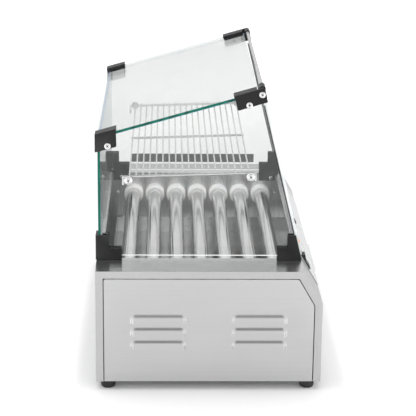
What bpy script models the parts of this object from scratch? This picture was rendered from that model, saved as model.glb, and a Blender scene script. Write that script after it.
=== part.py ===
# Hot dog roller grill with a glass hood: seven heated rollers in a stainless
# cabinet, a wire bun shelf hung inside the hood, and a hinged glass door on
# the operator's side.
#
# Frame: X runs along the rollers, -Y is the operator's side (control panel,
# glass door, drip tray), +Y the customer's side, +Z up. The origin is the
# bottom centre, on the plane that the rubber feet stand on.
#
# Dimensions are in millimetres and are turned into metres by MM. In the end
# elevation a point is written (depth, z): depth is measured from the rear
# (customer's) face of the cabinet towards the operator, z from the ground.
# "Front" is the operator's side; left is -X. A side is -1 for left, 1 for right.

import math

import bmesh
import bpy
from mathutils import Euler, Matrix, Vector

MM = 0.001
SIDES = (("left", -1), ("right", 1))

# ------------------------------------------------------- shared dimensions
CABINET_LENGTH = 580.0
CABINET_DEPTH = 322.8
ORIGIN_DEPTH = 166.2      # depth of the frame's origin
GROUND_GAP = 13.5         # underside of the cabinet
DECK_Z = 180.5            # top deck of the cabinet
SLOPE_TOP_DEPTH = 294.9   # top fold of the sloping control panel
SLOPE_FOOT_Z = 132.5      # bottom fold of the sloping control panel
SHEET = 1.2               # cabinet sheet
FLANGE = 10.8             # folded frame round each end panel
GAP = 0.3                 # clearance between neighbours

BAY_X = 230.2             # half length of the roller bay opening
BAY_DEPTH = (8.0, 288.0)
WALL_X = 230.8            # inner face of the bearing plates
WALL = 1.5

ROLLERS = 7
ROLLER_PITCH = 36.4
ROLLER_DEPTHS = [43.8 + i * ROLLER_PITCH for i in range(ROLLERS)]
ROLLER_Z = 145.1
ROLLER_R = 11.4
DRIVE = (153.0, 50.0)     # (depth, z) of the gear motor's shaft

TRAY_X = 226.0            # half length of the drip tray
TRAY_REAR = 14.0
TRAY_Z = (88.0, 102.0)
TRAY_CLEAR = 1.5          # from the tray to the slot above and below it

INLET = (66.0, 43.0)      # (depth, z) of the power inlet's centre
INLET_HALF = (14.0, 10.0)

# Hooks of the bun shelf through the end glasses, (depth, z).
HOOKS = ((46.0, 297.9), (220.0, 303.6))

# Steps round a full turn.
LARGE_STEPS = 20
COLLAR_STEPS = 16
SMALL_STEPS = 12

# ------------------------------------------------------------------- scene
for old in list(bpy.data.objects):
    bpy.data.objects.remove(old, do_unlink=True)
for old in list(bpy.data.meshes):
    bpy.data.meshes.remove(old)

parts = bpy.data.collections.new("hot_dog_roller_grill")
bpy.context.scene.collection.children.link(parts)
cutters = bpy.data.collections.new("cutters")
cutters.hide_render = True
bpy.context.scene.collection.children.link(cutters)


# --------------------------------------------------------------- materials
def material(name, colour, roughness, metallic=0.0, alpha=1.0, transmission=0.0):
    made = bpy.data.materials.new(name)
    made.use_nodes = True
    shader = made.node_tree.nodes["Principled BSDF"]
    shader.inputs["Base Color"].default_value = (*colour, 1.0)
    shader.inputs["Roughness"].default_value = roughness
    shader.inputs["Metallic"].default_value = metallic
    shader.inputs["Alpha"].default_value = alpha
    shader.inputs["Transmission Weight"].default_value = transmission
    return made


def steel(name, grey, roughness):
    warm_blue = grey * 0.985  # a little less blue warms the grey
    return material(name, (grey, grey, warm_blue), roughness, metallic=1.0)


brushed = steel("brushed_stainless", grey=0.62, roughness=0.33)
inner_steel = steel("inner_steel", grey=0.45, roughness=0.4)
polished = steel("polished_roller", grey=0.7, roughness=0.12)
zinc = steel("zinc_steel", grey=0.5, roughness=0.45)
wire_chrome = steel("wire_chrome", grey=0.75, roughness=0.15)
ptfe = material("white_ptfe", colour=(0.86, 0.86, 0.84), roughness=0.45)
black = material("black_plastic", colour=(0.015, 0.015, 0.016), roughness=0.4)
rubber = material("black_rubber", colour=(0.012, 0.012, 0.012), roughness=0.75)
overlay = material("panel_overlay", colour=(0.86, 0.87, 0.88), roughness=0.35)
amber = material("amber_lens", colour=(0.95, 0.33, 0.04), roughness=0.15, transmission=0.3)
clear = material(
    "clear_glass", colour=(0.9, 0.97, 0.95), roughness=0.02, alpha=0.3, transmission=1.0
)


# ------------------------------------------------------- ranges and outlines
def about(centre, half):
    return (centre - half, centre + half)


def sided(side, near, far):
    """The X range between two distances from the middle, on one side."""
    return sorted((side * near, side * far))


def rectangle(depths, heights):
    (rear, front), (low, high) = depths, heights
    return [(rear, low), (front, low), (front, high), (rear, high)]


def moved(outline, depth, z):
    return [(depth + across, z + up) for across, up in outline]


def circle(depth, z, radius, count):
    angles = [2 * math.pi * i / count for i in range(count)]
    return [(depth + radius * math.cos(a), z + radius * math.sin(a)) for a in angles]


def hub_circles(radius):
    return [circle(depth, ROLLER_Z, radius, COLLAR_STEPS) for depth in ROLLER_DEPTHS]


def inset(path, distance):
    """The open path moved to its right-hand side, with mitred corners."""
    lines = []
    for (depth, z), (next_depth, next_z) in zip(path, path[1:]):
        run, rise = next_depth - depth, next_z - z
        length = math.hypot(run, rise)
        across, up = rise / length * distance, -run / length * distance
        lines.append(((depth + across, z + up), (next_depth + across, next_z + up)))
    corners = [lines[0][0]]
    for (start, end), (next_start, next_end) in zip(lines, lines[1:]):
        run, rise = end[0] - start[0], end[1] - start[1]
        next_run, next_rise = next_end[0] - next_start[0], next_end[1] - next_start[1]
        away = (next_start[0] - start[0], next_start[1] - start[1])
        share = (away[0] * next_rise - away[1] * next_run) / (run * next_rise - rise * next_run)
        corners.append((start[0] + share * run, start[1] + share * rise))
    corners.append(lines[-1][1])
    return corners


# ----------------------------------------------------------- mesh building
def y_of(depth):
    return (ORIGIN_DEPTH - depth) * MM


def add(name, mesh, where):
    obj = bpy.data.objects.new(name, mesh)
    where.objects.link(obj)
    return obj


def mesh_from(name, shape):
    mesh = bpy.data.meshes.new(name)
    shape.to_mesh(mesh)
    shape.free()
    return mesh


def evaluated_mesh(obj):
    bpy.context.view_layer.update()
    graph = bpy.context.evaluated_depsgraph_get()
    return bpy.data.meshes.new_from_object(obj.evaluated_get(graph))


def solid_from_guide(name, guide, place, where):
    """Replaces a curve or modified profile by its welded mesh, placed by a matrix."""
    mesh = evaluated_mesh(guide)
    bpy.data.objects.remove(guide, do_unlink=True)
    shape = bmesh.new()
    shape.from_mesh(mesh)
    bmesh.ops.remove_doubles(shape, verts=shape.verts, dist=1e-6)
    bmesh.ops.recalc_face_normals(shape, faces=shape.faces)
    shape.to_mesh(mesh)
    shape.free()
    mesh.name = name
    obj = add(name, mesh, where)
    obj.matrix_world = place
    return obj


# Turns a curve's plane into the end elevation and its extrusion into X.
ALONG_X = Euler((math.pi / 2, 0, math.pi / 2)).to_matrix().to_4x4()


def plate(name, outlines, x_range, where=parts):
    """An outline in (depth, z), followed by any holes, extruded over a range of X."""
    x_from, x_to = x_range
    curve = bpy.data.curves.new(name, "CURVE")
    curve.dimensions = "2D"
    curve.fill_mode = "BOTH"
    curve.extrude = (x_to - x_from) / 2 * MM
    for outline in outlines:
        spline = curve.splines.new("POLY")
        spline.points.add(len(outline) - 1)
        for point, (depth, z) in zip(spline.points, outline):
            point.co = (y_of(depth), z * MM, 0.0, 1.0)
        spline.use_cyclic_u = True
    place = Matrix.Translation(((x_from + x_to) / 2 * MM, 0, 0)) @ ALONG_X
    return solid_from_guide(name, add("guide", curve, where), place, where)


def box(name, x_range, depths, heights, where=parts):
    shape = bmesh.new()
    bmesh.ops.create_cube(shape, size=1.0)
    size = Vector([(high - low) * MM for low, high in (x_range, depths, heights)])
    bmesh.ops.scale(shape, vec=size, verts=shape.verts)
    obj = add(name, mesh_from(name, shape), where)
    obj.location = (sum(x_range) / 2 * MM, y_of(sum(depths) / 2), sum(heights) / 2 * MM)
    return obj


def turned(name, profile, place, steps, where=parts):
    """A closed profile of (distance along the axis, radius), turned about local Z."""
    shape = bmesh.new()
    verts = [shape.verts.new((radius * MM, 0, along * MM)) for along, radius in profile]
    for i in range(len(profile)):
        j = (i + 1) % len(profile)
        # An edge along the axis would sweep out nothing.
        if profile[i][1] or profile[j][1]:
            shape.edges.new((verts[i], verts[j]))
    guide = add("guide", mesh_from("profile", shape), where)
    screw = guide.modifiers.new("turn", "SCREW")
    screw.axis = "Z"
    screw.steps = steps
    screw.render_steps = steps
    screw.use_merge_vertices = True
    screw.merge_threshold = 0.00001
    return solid_from_guide(name, guide, place, where)


def axis_x(depth, z, x=0.0, facing=1):
    """Places local Z along +X, or along -X when facing is -1."""
    turn = Euler((0, facing * math.pi / 2, 0)).to_matrix().to_4x4()
    return Matrix.Translation((x * MM, y_of(depth), z * MM)) @ turn


def rod(name, start, end, radius, sides, where=cutters):
    """A straight round wire between two (x, depth, z) points."""
    start, end = [Vector((x * MM, y_of(depth), z * MM)) for x, depth, z in (start, end)]
    shape = bmesh.new()
    bmesh.ops.create_cone(
        shape,
        cap_ends=True,
        segments=sides,
        radius1=radius * MM,
        radius2=radius * MM,
        depth=(end - start).length,
    )
    obj = add(name, mesh_from(name, shape), where)
    turn = Vector((0, 0, 1)).rotation_difference((end - start).normalized())
    obj.matrix_world = Matrix.Translation((start + end) / 2) @ turn.to_matrix().to_4x4()
    return obj


def combine(obj, others, operation, solver="EXACT"):
    """Cuts or joins the others in turn, and keeps the result as the mesh."""
    for other in others:
        modifier = obj.modifiers.new("b", "BOOLEAN")
        modifier.operation = operation
        modifier.solver = solver
        modifier.object = other
    mesh = evaluated_mesh(obj)
    obj.modifiers.clear()
    mesh.name = obj.name
    obj.data = mesh
    for other in others:
        bpy.data.objects.remove(other, do_unlink=True)
    return obj


def cut(obj, *others):
    return combine(obj, others, "DIFFERENCE")


def join(obj, *others):
    return combine(obj, others, "UNION")


def finish(obj, surface, smooth=True):
    obj.data.materials.clear()
    obj.data.materials.append(surface)
    if smooth:
        obj.data.shade_smooth()
        obj.data.set_sharp_from_angle(angle=math.radians(35))
    return obj


def set_origin(obj, x, depth, z):
    """Moves the origin to a joint axis, so that the piece turns about it."""
    bpy.context.view_layer.update()
    local = obj.matrix_world.inverted() @ Vector((x * MM, y_of(depth), z * MM))
    obj.data.transform(Matrix.Translation(-local))
    obj.matrix_world = obj.matrix_world @ Matrix.Translation(local)


# ----------------------------------------------------------- sloping panel
# Cabinet section from the rear foot over the deck to the front foot, (depth, z).
PROFILE = [
    (0.0, GROUND_GAP),
    (0.0, DECK_Z),
    (SLOPE_TOP_DEPTH, DECK_Z),
    (CABINET_DEPTH, SLOPE_FOOT_Z),
    (CABINET_DEPTH, GROUND_GAP),
]

# Directions on the sloping panel, in (depth, z): up the slope and out of it.
SLOPE_LENGTH = math.hypot(CABINET_DEPTH - SLOPE_TOP_DEPTH, DECK_Z - SLOPE_FOOT_Z)
UP = ((SLOPE_TOP_DEPTH - CABINET_DEPTH) / SLOPE_LENGTH, (DECK_Z - SLOPE_FOOT_Z) / SLOPE_LENGTH)
OUT = (UP[1], -UP[0])

# Controls: x, and distance down from the panel's top fold.
SWITCH_X, SWITCH_DOWN = -201.5, 14.0
LAMP_X, LAMP_DOWN = -128.0, 8.5
CAP_X, CAP_DOWN = -12.0, 12.5
ROCKER_TILT = math.radians(12)

# Profiles of (distance out of the slope, radius).
ROUND_HOLE = [(-6, 0), (-6, 3.4), (6, 3.4), (6, 0)]
LAMP = [(-12, 0), (-12, 3.0), (1.4, 3.0), (1.4, 4.4), (2.2, 4.0), (3.2, 1.8), (3.2, 0)]
CAP = [(-4, 0), (-4, 3.0), (1.4, 3.0), (1.4, 6.2), (2.0, 6.2), (2.7, 5.0), (2.7, 0)]

# Side view of the untilted rocker about its pivot: (up the slope, out of it).
ROCKER = [
    (-10.2, 4.6), (0.0, 3.3), (10.2, 4.6), (9.0, -2.6),
    (4.0, -5.2), (-4.0, -5.2), (-9.0, -2.6),
]


def on_slope(down, out):
    """A point of the panel, measured down from its top fold and out from its face."""
    return (
        SLOPE_TOP_DEPTH - UP[0] * down + OUT[0] * out,
        DECK_Z - UP[1] * down + OUT[1] * out,
    )


def slope_block(name, x_range, down_range, out_range, where=parts):
    outline = [on_slope(down, out) for down, out in rectangle(down_range, out_range)]
    return plate(name, [outline], x_range, where)


def switch_block(name, half_width, half_height, out_range, where=cutters):
    return slope_block(
        name, about(SWITCH_X, half_width), about(SWITCH_DOWN, half_height), out_range, where
    )


def slope_turned(name, profile, x, down, where=parts):
    depth, z = on_slope(down, 0.0)
    out = Vector((0, -OUT[0], OUT[1]))
    turn = Vector((0, 0, 1)).rotation_difference(out).to_matrix().to_4x4()
    place = Matrix.Translation((x * MM, y_of(depth), z * MM)) @ turn
    return turned(name, profile, place, 16, where)


def control_holes():
    """Cutters for the switch, the lamp and the round cap."""
    return [
        switch_block("switch_hole", 9.9, 12.2, (-6, 6)),
        slope_turned("lamp_hole", ROUND_HOLE, LAMP_X, LAMP_DOWN, cutters),
        slope_turned("cap_hole", ROUND_HOLE, CAP_X, CAP_DOWN, cutters),
    ]


def make_control_panel():
    down_range = (1.0, SLOPE_LENGTH - 1.0)
    panel = slope_block("control_panel", about(0, 214.0), down_range, (GAP, 1.1))
    cut(panel, *control_holes())
    finish(panel, overlay, smooth=False)


def make_switch_housing():
    housing = switch_block("switch_housing", 9.4, 11.8, (-15.0, 2.4), parts)
    join(housing, switch_block("bezel", 11.2, 13.4, (1.4, 3.0)))
    cut(housing, switch_block("pocket", 8.3, 11.1, (-7.5, 8.0)))
    finish(housing, black, smooth=False)


def make_rocker():
    """The rocker, turned about its pivot so that its upper end stands out."""
    cosine, sine = math.cos(ROCKER_TILT), math.sin(ROCKER_TILT)
    outline = [
        on_slope(SWITCH_DOWN - (up * cosine - out * sine), up * sine + out * cosine)
        for up, out in ROCKER
    ]
    rocker = plate("switch_rocker", [outline], about(SWITCH_X, 8.0))
    finish(rocker, black, smooth=False)
    set_origin(rocker, SWITCH_X, *on_slope(SWITCH_DOWN, 0.0))


def make_lamp_and_cap():
    finish(slope_turned("indicator_lamp", LAMP, LAMP_X, LAMP_DOWN), amber)
    finish(slope_turned("round_cap", CAP, CAP_X, CAP_DOWN), black)


# ----------------------------------------------------------------- cabinet
BOTTOM_X = 286.8          # half length of the bottom plate
VENTS = 7
VENT_X = (-120, -110)     # first vent
VENT_PITCH = 40
VENT_DEPTH = (70, 250)

END_FACE_X = CABINET_LENGTH / 2 - 1.0
LOUVRE_DEPTHS = ((49.0, 129.2), (193.4, 273.0))
LOUVRE_TOPS = (116.2, 96.7, 77.2)
LOUVRE_HEIGHT = 13.8
LOUVRE_OUT = 3.8
LOUVRE_RAMP = 4.6
LOUVRE_SKIN = 0.9         # thickness left between pressing and hollow

DRIVE_HOLE_R = 6.0
RAIL_DEPTH = (24, 312)
WALL_SCREWS = ((16.0, 145.0), (288.0, 144.0))  # (depth, z)
WALL_SCREW = [(-0.8, 0), (-0.8, 3.0), (0.8, 3.0), (1.8, 1.4), (1.8, 0)]

FOOT_X = 273.0
FOOT_DEPTHS = (("rear", 17.0), ("front", 304.3))
FOOT = [  # (height, radius)
    (GROUND_GAP - GAP, 0), (GROUND_GAP - GAP, 11.4),
    (4.0, 10.6), (1.2, 9.6), (0.0, 7.8), (0.0, 0),
]


def make_shell():
    half = CABINET_LENGTH / 2
    skin = PROFILE + inset(PROFILE, SHEET)[::-1]
    shell = plate("outer_shell", [skin], about(0, half))
    band = PROFILE + inset(PROFILE, FLANGE)[::-1]
    join(
        shell,
        *[plate("flange", [band], sided(side, half - SHEET, half), cutters) for _, side in SIDES],
    )
    slot_z = (TRAY_Z[0] - TRAY_CLEAR, TRAY_Z[1] + TRAY_CLEAR)
    cut(
        shell,
        box("bay", about(0, BAY_X), BAY_DEPTH, about(DECK_Z, 6), cutters),
        box("tray_slot", about(0, TRAY_X + 1.2), about(CABINET_DEPTH, 5), slot_z, cutters),
        *control_holes(),
    )
    finish(shell, brushed)


def make_bottom():
    bottom = box(
        "bottom_plate",
        about(0, BOTTOM_X),
        (SHEET + GAP, CABINET_DEPTH - SHEET - GAP),
        (GROUND_GAP, GROUND_GAP + SHEET),
    )
    vents = []
    for i in range(VENTS):
        x_range = [x + VENT_PITCH * i for x in VENT_X]
        vents.append(box("vent", x_range, VENT_DEPTH, about(GROUND_GAP, 5), cutters))
    finish(cut(bottom, *vents), zinc)


def louvre_block(name, side, depths, top, skin):
    """A hipped block standing on the panel's face: sloping top and ends, square foot."""
    shape = bmesh.new()
    bmesh.ops.create_cube(shape, size=1.0)
    # The hollow reaches past the pressing's foot, which leaves it open below.
    foot = top - LOUVRE_HEIGHT - (0.3 if skin else 0.0)
    for vert in shape.verts:
        outer = vert.co.x > 0
        ramp = LOUVRE_RAMP if outer else 0.0
        depth = depths[0] + skin + ramp if vert.co.y > 0 else depths[1] - skin - ramp
        z = top - skin - ramp if vert.co.z > 0 else foot
        x = END_FACE_X + (LOUVRE_OUT - skin) if outer else END_FACE_X - 4.0
        vert.co = (side * x * MM, y_of(depth), z * MM)
    bmesh.ops.recalc_face_normals(shape, faces=shape.faces)
    return add(name, mesh_from(name, shape), cutters)


def make_end_panel(name, side):
    # The panel stands inside the folded frame, with a narrow gap all round.
    outline = inset(PROFILE, FLANGE + 1.2)
    inner_x = END_FACE_X - SHEET
    panel = plate(f"{name}_end_panel", [outline], sided(side, inner_x, END_FACE_X))
    places = [(depths, top) for depths in LOUVRE_DEPTHS for top in LOUVRE_TOPS]
    join(panel, *[louvre_block("raised", side, *place, 0.0) for place in places])
    # Raised blocks start behind the sheet, so trim what stands there.
    cut(panel, box("trim", sided(side, inner_x, END_FACE_X - 9.0), (20, 300), (40, 140), cutters))
    cut(panel, *[louvre_block("hollow", side, *place, LOUVRE_SKIN) for place in places])
    if side == 1:
        cut(panel, inlet_block("inlet_hole", (280, 295), -0.4, cutters))
    finish(panel, brushed, smooth=False)


def make_bearing_plate(name, side):
    outline = inset(PROFILE, SHEET + GAP)
    for end in (0, -1):
        outline[end] = (outline[end][0], GROUND_GAP + SHEET + GAP)
    holes = hub_circles(13.2)
    if side == 1:
        holes.append(circle(*DRIVE, DRIVE_HOLE_R, SMALL_STEPS))
    wall = plate(f"{name}_bearing_plate", [outline] + holes, sided(side, WALL_X, WALL_X + WALL))
    # Ledge that carries the drip tray.
    rail = box(
        "rail",
        sided(side, WALL_X - 7.0, WALL_X + 0.8),
        RAIL_DEPTH,
        (TRAY_Z[0] - TRAY_CLEAR, TRAY_Z[0] - GAP),
        cutters,
    )
    screws = [
        turned("screw", WALL_SCREW, axis_x(depth, z, side * WALL_X, -side), 8, cutters)
        for depth, z in WALL_SCREWS
    ]
    finish(join(wall, rail, *screws), inner_steel)


def make_feet():
    for row, depth in FOOT_DEPTHS:
        for name, side in SIDES:
            place = Matrix.Translation((side * FOOT_X * MM, y_of(depth), 0.0))
            finish(turned(f"foot_{row}_{name}", FOOT, place, 16), rubber)


# ------------------------------------------------------------- power inlet
INLET_WALL = 2.5
BLADES = ((-6.5, -1.5), (6.5, -1.5), (0.0, 2.0))  # (depth, z) from the inlet's centre


def inlet_block(name, x_range, inward, where):
    """A block on the inlet's centre, its sides moved in from the inlet's body."""
    depths, heights = [about(INLET[k], INLET_HALF[k] - inward) for k in (0, 1)]
    return box(name, x_range, depths, heights, where)


def make_inlet():
    inlet = inlet_block("power_inlet", (266.0, 288.9), 0.0, parts)
    cut(inlet, inlet_block("socket", (276.0, 295.0), INLET_WALL, cutters))
    blades = [
        box("blade", (274.0, 286.5), about(depth, 1.0), about(z, 2.5), cutters)
        for depth, z in moved(BLADES, *INLET)
    ]
    finish(join(inlet, *blades), black, smooth=False)


# ----------------------------------------------------------------- rollers
TUBE_WALL = 1.2
ROLLER_END = 262.0        # half length of a roller
SEAL_R = 16.2
SEAL_LENGTH = 18.0        # from the bearing plate into the bay
SEAL_BORE_R = 11.75
SEAL_NECK_R = 12.9        # part that passes through the bearing plate
STRIP = rectangle((26.0, 280.0), (130.0, 160.2))

HEATER_CLAMP = rectangle((34.0, 272.0), (137.0, 153.0))
HEATER_CLAMP_X = (266.0, 270.0)
HEATER_END = 274.0        # half length of a heating rod
HEATER_R = 4.0


def make_rollers():
    tube = [
        (ROLLER_END, ROLLER_R - TUBE_WALL),
        (ROLLER_END, ROLLER_R),
        (-ROLLER_END, ROLLER_R),
        (-ROLLER_END, ROLLER_R - TUBE_WALL),
    ]
    for i, depth in enumerate(ROLLER_DEPTHS, 1):
        finish(turned(f"roller_{i}", tube, axis_x(depth, ROLLER_Z), LARGE_STEPS), polished)


def seal(name, side, depth, neck, where):
    """A flanged collar inside the bay; its neck runs outwards past the bearing plate."""
    profile = [
        (-SEAL_LENGTH, SEAL_BORE_R),
        (-SEAL_LENGTH, 14.6),
        (-SEAL_LENGTH + 1.8, SEAL_R),
        (-GAP, SEAL_R),
        (-GAP, SEAL_NECK_R),
        (WALL + neck, SEAL_NECK_R),
        (WALL + neck, SEAL_BORE_R),
    ]
    profile = [(side * along, radius) for along, radius in profile]
    return turned(name, profile, axis_x(depth, ROLLER_Z, side * WALL_X), COLLAR_STEPS, where)


def make_right_seals():
    for i, depth in enumerate(ROLLER_DEPTHS, 1):
        finish(seal(f"roller_seal_{i}", 1, depth, 2.0, parts), ptfe)


def make_left_strip():
    """The left ends run in one strip of seven collars, outside the bearing plate."""
    strip_x = (-WALL_X - WALL - 4.0, -WALL_X - WALL - GAP)
    strip = plate("left_bearing_strip", [STRIP] + hub_circles(12.35), strip_x)
    collars = [seal("collar", -1, depth, 3.1, cutters) for depth in ROLLER_DEPTHS]
    finish(combine(strip, collars, "UNION", "MANIFOLD"), ptfe)


def make_heaters():
    """Heating rods stand still inside the turning tubes, clamped at both ends."""
    heaters = plate("heater_bank", [HEATER_CLAMP], HEATER_CLAMP_X)
    pieces = [plate("left_clamp", [HEATER_CLAMP], sided(-1, *HEATER_CLAMP_X), cutters)]
    for depth in ROLLER_DEPTHS:
        outline = circle(depth, ROLLER_Z, HEATER_R, 6)
        pieces.append(plate("rod", [outline], about(0, HEATER_END), cutters))
    finish(join(heaters, *pieces), zinc)


# --------------------------------------------------------- chain and motor
SPROCKET_X = (246.0, 250.0)
SPROCKET_R = 15.0
SPROCKET_ROOT = 12.9
TEETH = 12
CHAIN_INNER_R = 15.5
CHAIN_OUTER_R = 19.5
CHAIN_X = (244.0, 252.0)
SHAFT_R = 4.0
GEARBOX_X = 204.0         # inner face of the gearbox
GEARBOX = [  # (depth, z) from the shaft
    (-30, -26), (-26, -30), (26, -30), (30, -26),
    (30, 26), (26, 30), (-26, 30), (-30, 26),
]
MOTOR_CAN = [(-52, 0), (-52, 22), (-48, 26), (2, 26), (2, 0)]


def sprocket_outline(depth, z):
    points = []
    for tooth in range(TEETH):
        for part, radius in ((0.0, SPROCKET_R), (0.5, SPROCKET_ROOT)):
            angle = math.pi / 2 + 2 * math.pi * (tooth + part) / TEETH
            points.append((depth + radius * math.cos(angle), z + radius * math.sin(angle)))
    return points


def round_hull(centres, radius, per_corner=6):
    """The outline round equal circles at the corners of a convex polygon."""
    points = []
    for k, here in enumerate(centres):
        before, after = centres[k - 1], centres[(k + 1) % len(centres)]
        start = math.atan2(here[1] - before[1], here[0] - before[0]) - math.pi / 2
        end = math.atan2(after[1] - here[1], after[0] - here[0]) - math.pi / 2
        while end < start:
            end += 2 * math.pi
        for step in range(per_corner + 1):
            angle = start + (end - start) * step / per_corner
            points.append((here[0] + radius * math.cos(angle), here[1] + radius * math.sin(angle)))
    return points


def make_roller_sprockets():
    for i, depth in enumerate(ROLLER_DEPTHS, 1):
        bore = circle(depth, ROLLER_Z, ROLLER_R + GAP + 0.1, 16)
        outlines = [sprocket_outline(depth, ROLLER_Z), bore]
        wheel = plate(f"roller_sprocket_{i}", outlines, SPROCKET_X)
        finish(wheel, zinc, smooth=False)
        set_origin(wheel, sum(SPROCKET_X) / 2, depth, ROLLER_Z)


def make_chain():
    run = [(ROLLER_DEPTHS[0], ROLLER_Z), DRIVE, (ROLLER_DEPTHS[-1], ROLLER_Z)]
    outlines = [round_hull(run, radius) for radius in (CHAIN_OUTER_R, CHAIN_INNER_R)]
    finish(plate("drive_chain", outlines, CHAIN_X), zinc)


def make_drive_sprocket():
    drive = plate("drive_sprocket", [sprocket_outline(*DRIVE)], SPROCKET_X)
    outline = circle(*DRIVE, SHAFT_R, SMALL_STEPS)
    join(drive, plate("shaft", [outline], (226.0, 254.0), cutters))
    finish(drive, zinc, smooth=False)
    set_origin(drive, sum(SPROCKET_X) / 2, *DRIVE)


def make_gear_motor():
    """The gearbox stands against the right bearing plate, with the motor inboard."""
    gearbox = plate("gear_motor", [moved(GEARBOX, *DRIVE)], (GEARBOX_X, WALL_X - GAP))
    join(gearbox, turned("can", MOTOR_CAN, axis_x(*DRIVE, GEARBOX_X), LARGE_STEPS, cutters))
    bore = circle(*DRIVE, SHAFT_R + 0.6, SMALL_STEPS)
    cut(gearbox, plate("bore", [bore], (222.0, 240.0), cutters))
    finish(gearbox, zinc)


# --------------------------------------------------------------- drip tray
# Finger lip, (depth, z) from the cabinet's front face and the tray's top edge.
TRAY_LIP = [(0.8, 5.0), (0.8, 3.6), (9.2, 3.6), (9.2, -2.0), (10.6, -2.0), (10.6, 5.0)]
TRAY_LIP_X = 60.0


def make_tray():
    tray = box("drip_tray", about(0, TRAY_X), (TRAY_REAR, CABINET_DEPTH + 0.9), TRAY_Z)
    well = box(
        "well",
        about(0, TRAY_X - SHEET),
        (TRAY_REAR + SHEET, CABINET_DEPTH - 0.6),
        (TRAY_Z[0] + SHEET, TRAY_Z[1] + 9),
        cutters,
    )
    cut(tray, well)
    front = box(
        "tray_front",
        about(0, TRAY_X + 4),
        (CABINET_DEPTH + GAP, CABINET_DEPTH + GAP + SHEET),
        (TRAY_Z[0] - 4, TRAY_Z[1] + 5),
        cutters,
    )
    lip = moved(TRAY_LIP, CABINET_DEPTH, TRAY_Z[1])
    join(tray, front, plate("tray_lip", [lip], about(0, TRAY_LIP_X), cutters))
    finish(tray, brushed, smooth=False)


# -------------------------------------------------------------- hood glass
GLASS = 4.0
HOOD_X = 234.0            # outer face of the end glasses
ROOF_Z = 361.9            # upper face of the roof glass, produced to depth 0
ROOF_RISE = 0.2865        # rise of the roof per unit of depth
ROOF_FRONT = 228.5        # depth of the roof's upper front edge
FRONT_FOOT = 293.0        # foot of the end glass's sloping edge, on the deck
FRONT_RUN = 0.246         # run of that edge per unit of z
GLASS_FOOT = DECK_Z + GAP
END_FOOT_Z = 185.6        # the end panes hang in their brackets above the deck
END_REAR = 6.9
REAR_GLASS = 2.6          # depth of the rear glass's outer face


def roof_z(depth, below=0.0):
    """Height of the roof glass's upper face, or of a plane parallel to it and below it."""
    return ROOF_Z + ROOF_RISE * depth - below * math.hypot(1, ROOF_RISE)


def front_depth(z, out=0.0):
    """Depth of the end glass's sloping edge, or of a plane parallel to it in front of it."""
    return FRONT_FOOT - FRONT_RUN * (z - DECK_Z) + out * math.hypot(1, FRONT_RUN)


def make_end_glass(name, side):
    # The sloping edge meets the plane just under the roof glass here.
    top_depth = FRONT_FOOT - FRONT_RUN * (roof_z(0, GLASS + GAP) - DECK_Z)
    top_depth /= 1 + FRONT_RUN * ROOF_RISE
    outline = [
        (END_REAR, END_FOOT_Z),
        (front_depth(END_FOOT_Z), END_FOOT_Z),
        (top_depth, roof_z(top_depth, GLASS + GAP)),
        (END_REAR, roof_z(END_REAR, GLASS + GAP)),
    ]
    holes = [circle(depth, z, 3.4, SMALL_STEPS) for depth, z in HOOKS]
    pane = plate(f"{name}_end_glass", [outline] + holes, sided(side, HOOD_X - GLASS, HOOD_X))
    finish(pane, clear, smooth=False)


def make_rear_glass():
    depths = (REAR_GLASS, REAR_GLASS + GLASS)
    heights = (GLASS_FOOT, roof_z(REAR_GLASS, GLASS + GAP))
    finish(box("rear_glass", about(0, HOOD_X), depths, heights), clear, smooth=False)


def make_top_glass():
    upper = [(depth, roof_z(depth)) for depth in (1.0, ROOF_FRONT)]
    lower = [(depth, roof_z(depth, GLASS)) for depth in (ROOF_FRONT + 1.1, 2.1)]
    finish(plate("top_glass", [upper + lower], about(0, HOOD_X)), clear, smooth=False)


# -------------------------------------------------------------------- door
# The glass hangs from a rod along its top edge. Two clamp shoes on the rod
# grip the glass, and the rod's ends turn in the upper front brackets.
DOOR_BACK = 0.8           # from the end glasses' sloping edge to the door
DOOR_FRONT = DOOR_BACK + GLASS
DOOR_FOOT_Z = 187.5
HINGE_Z = 430.0
HINGE = (front_depth(HINGE_Z, DOOR_BACK + GLASS / 2), HINGE_Z)
DOOR_TOP_Z = HINGE_Z - 4.2
HINGE_ROD_R = 2.4
SHOE_X = (HOOD_X - 28.0, HOOD_X - GLASS - 0.4)
SHOE_EYE_R = 4.3
SHOE_WALL = 1.5
SHOE_FOOT_Z = DOOR_TOP_Z - 9.0


def door_slab(low, high, spread=0.0):
    """The door's section between two heights, thickened by spread on both faces."""
    back, front = DOOR_BACK - spread, DOOR_FRONT + spread
    return [
        (front_depth(low, back), low),
        (front_depth(low, front), low),
        (front_depth(high, front), high),
        (front_depth(high, back), high),
    ]


def make_door():
    outline = door_slab(DOOR_FOOT_Z, DOOR_TOP_Z)
    door = plate("front_door_glass", [outline], about(0, HOOD_X - 0.6))
    finish(door, clear, smooth=False)
    set_origin(door, 0.0, *HINGE)


def clamp_shoe(side):
    near, far = sided(side, *SHOE_X)
    shoe = plate("eye", [circle(*HINGE, SHOE_EYE_R, SMALL_STEPS)], (near, far), cutters)
    grip = door_slab(SHOE_FOOT_Z, HINGE_Z, SHOE_WALL)
    slot = door_slab(SHOE_FOOT_Z - 3, DOOR_TOP_Z + GAP, GAP)
    slot_cutter = plate("slot", [slot], (near - 2, far + 2), cutters)
    join(shoe, plate("grip", [grip], (near, far), cutters))
    return cut(shoe, slot_cutter)


def make_hinge():
    outline = circle(*HINGE, HINGE_ROD_R, SMALL_STEPS)
    hinge = plate("door_hinge_rod", [outline], about(0, HOOD_X + 2.4))
    join(hinge, *[clamp_shoe(side) for _, side in SIDES])
    finish(hinge, black)
    set_origin(hinge, 0.0, *HINGE)


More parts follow.
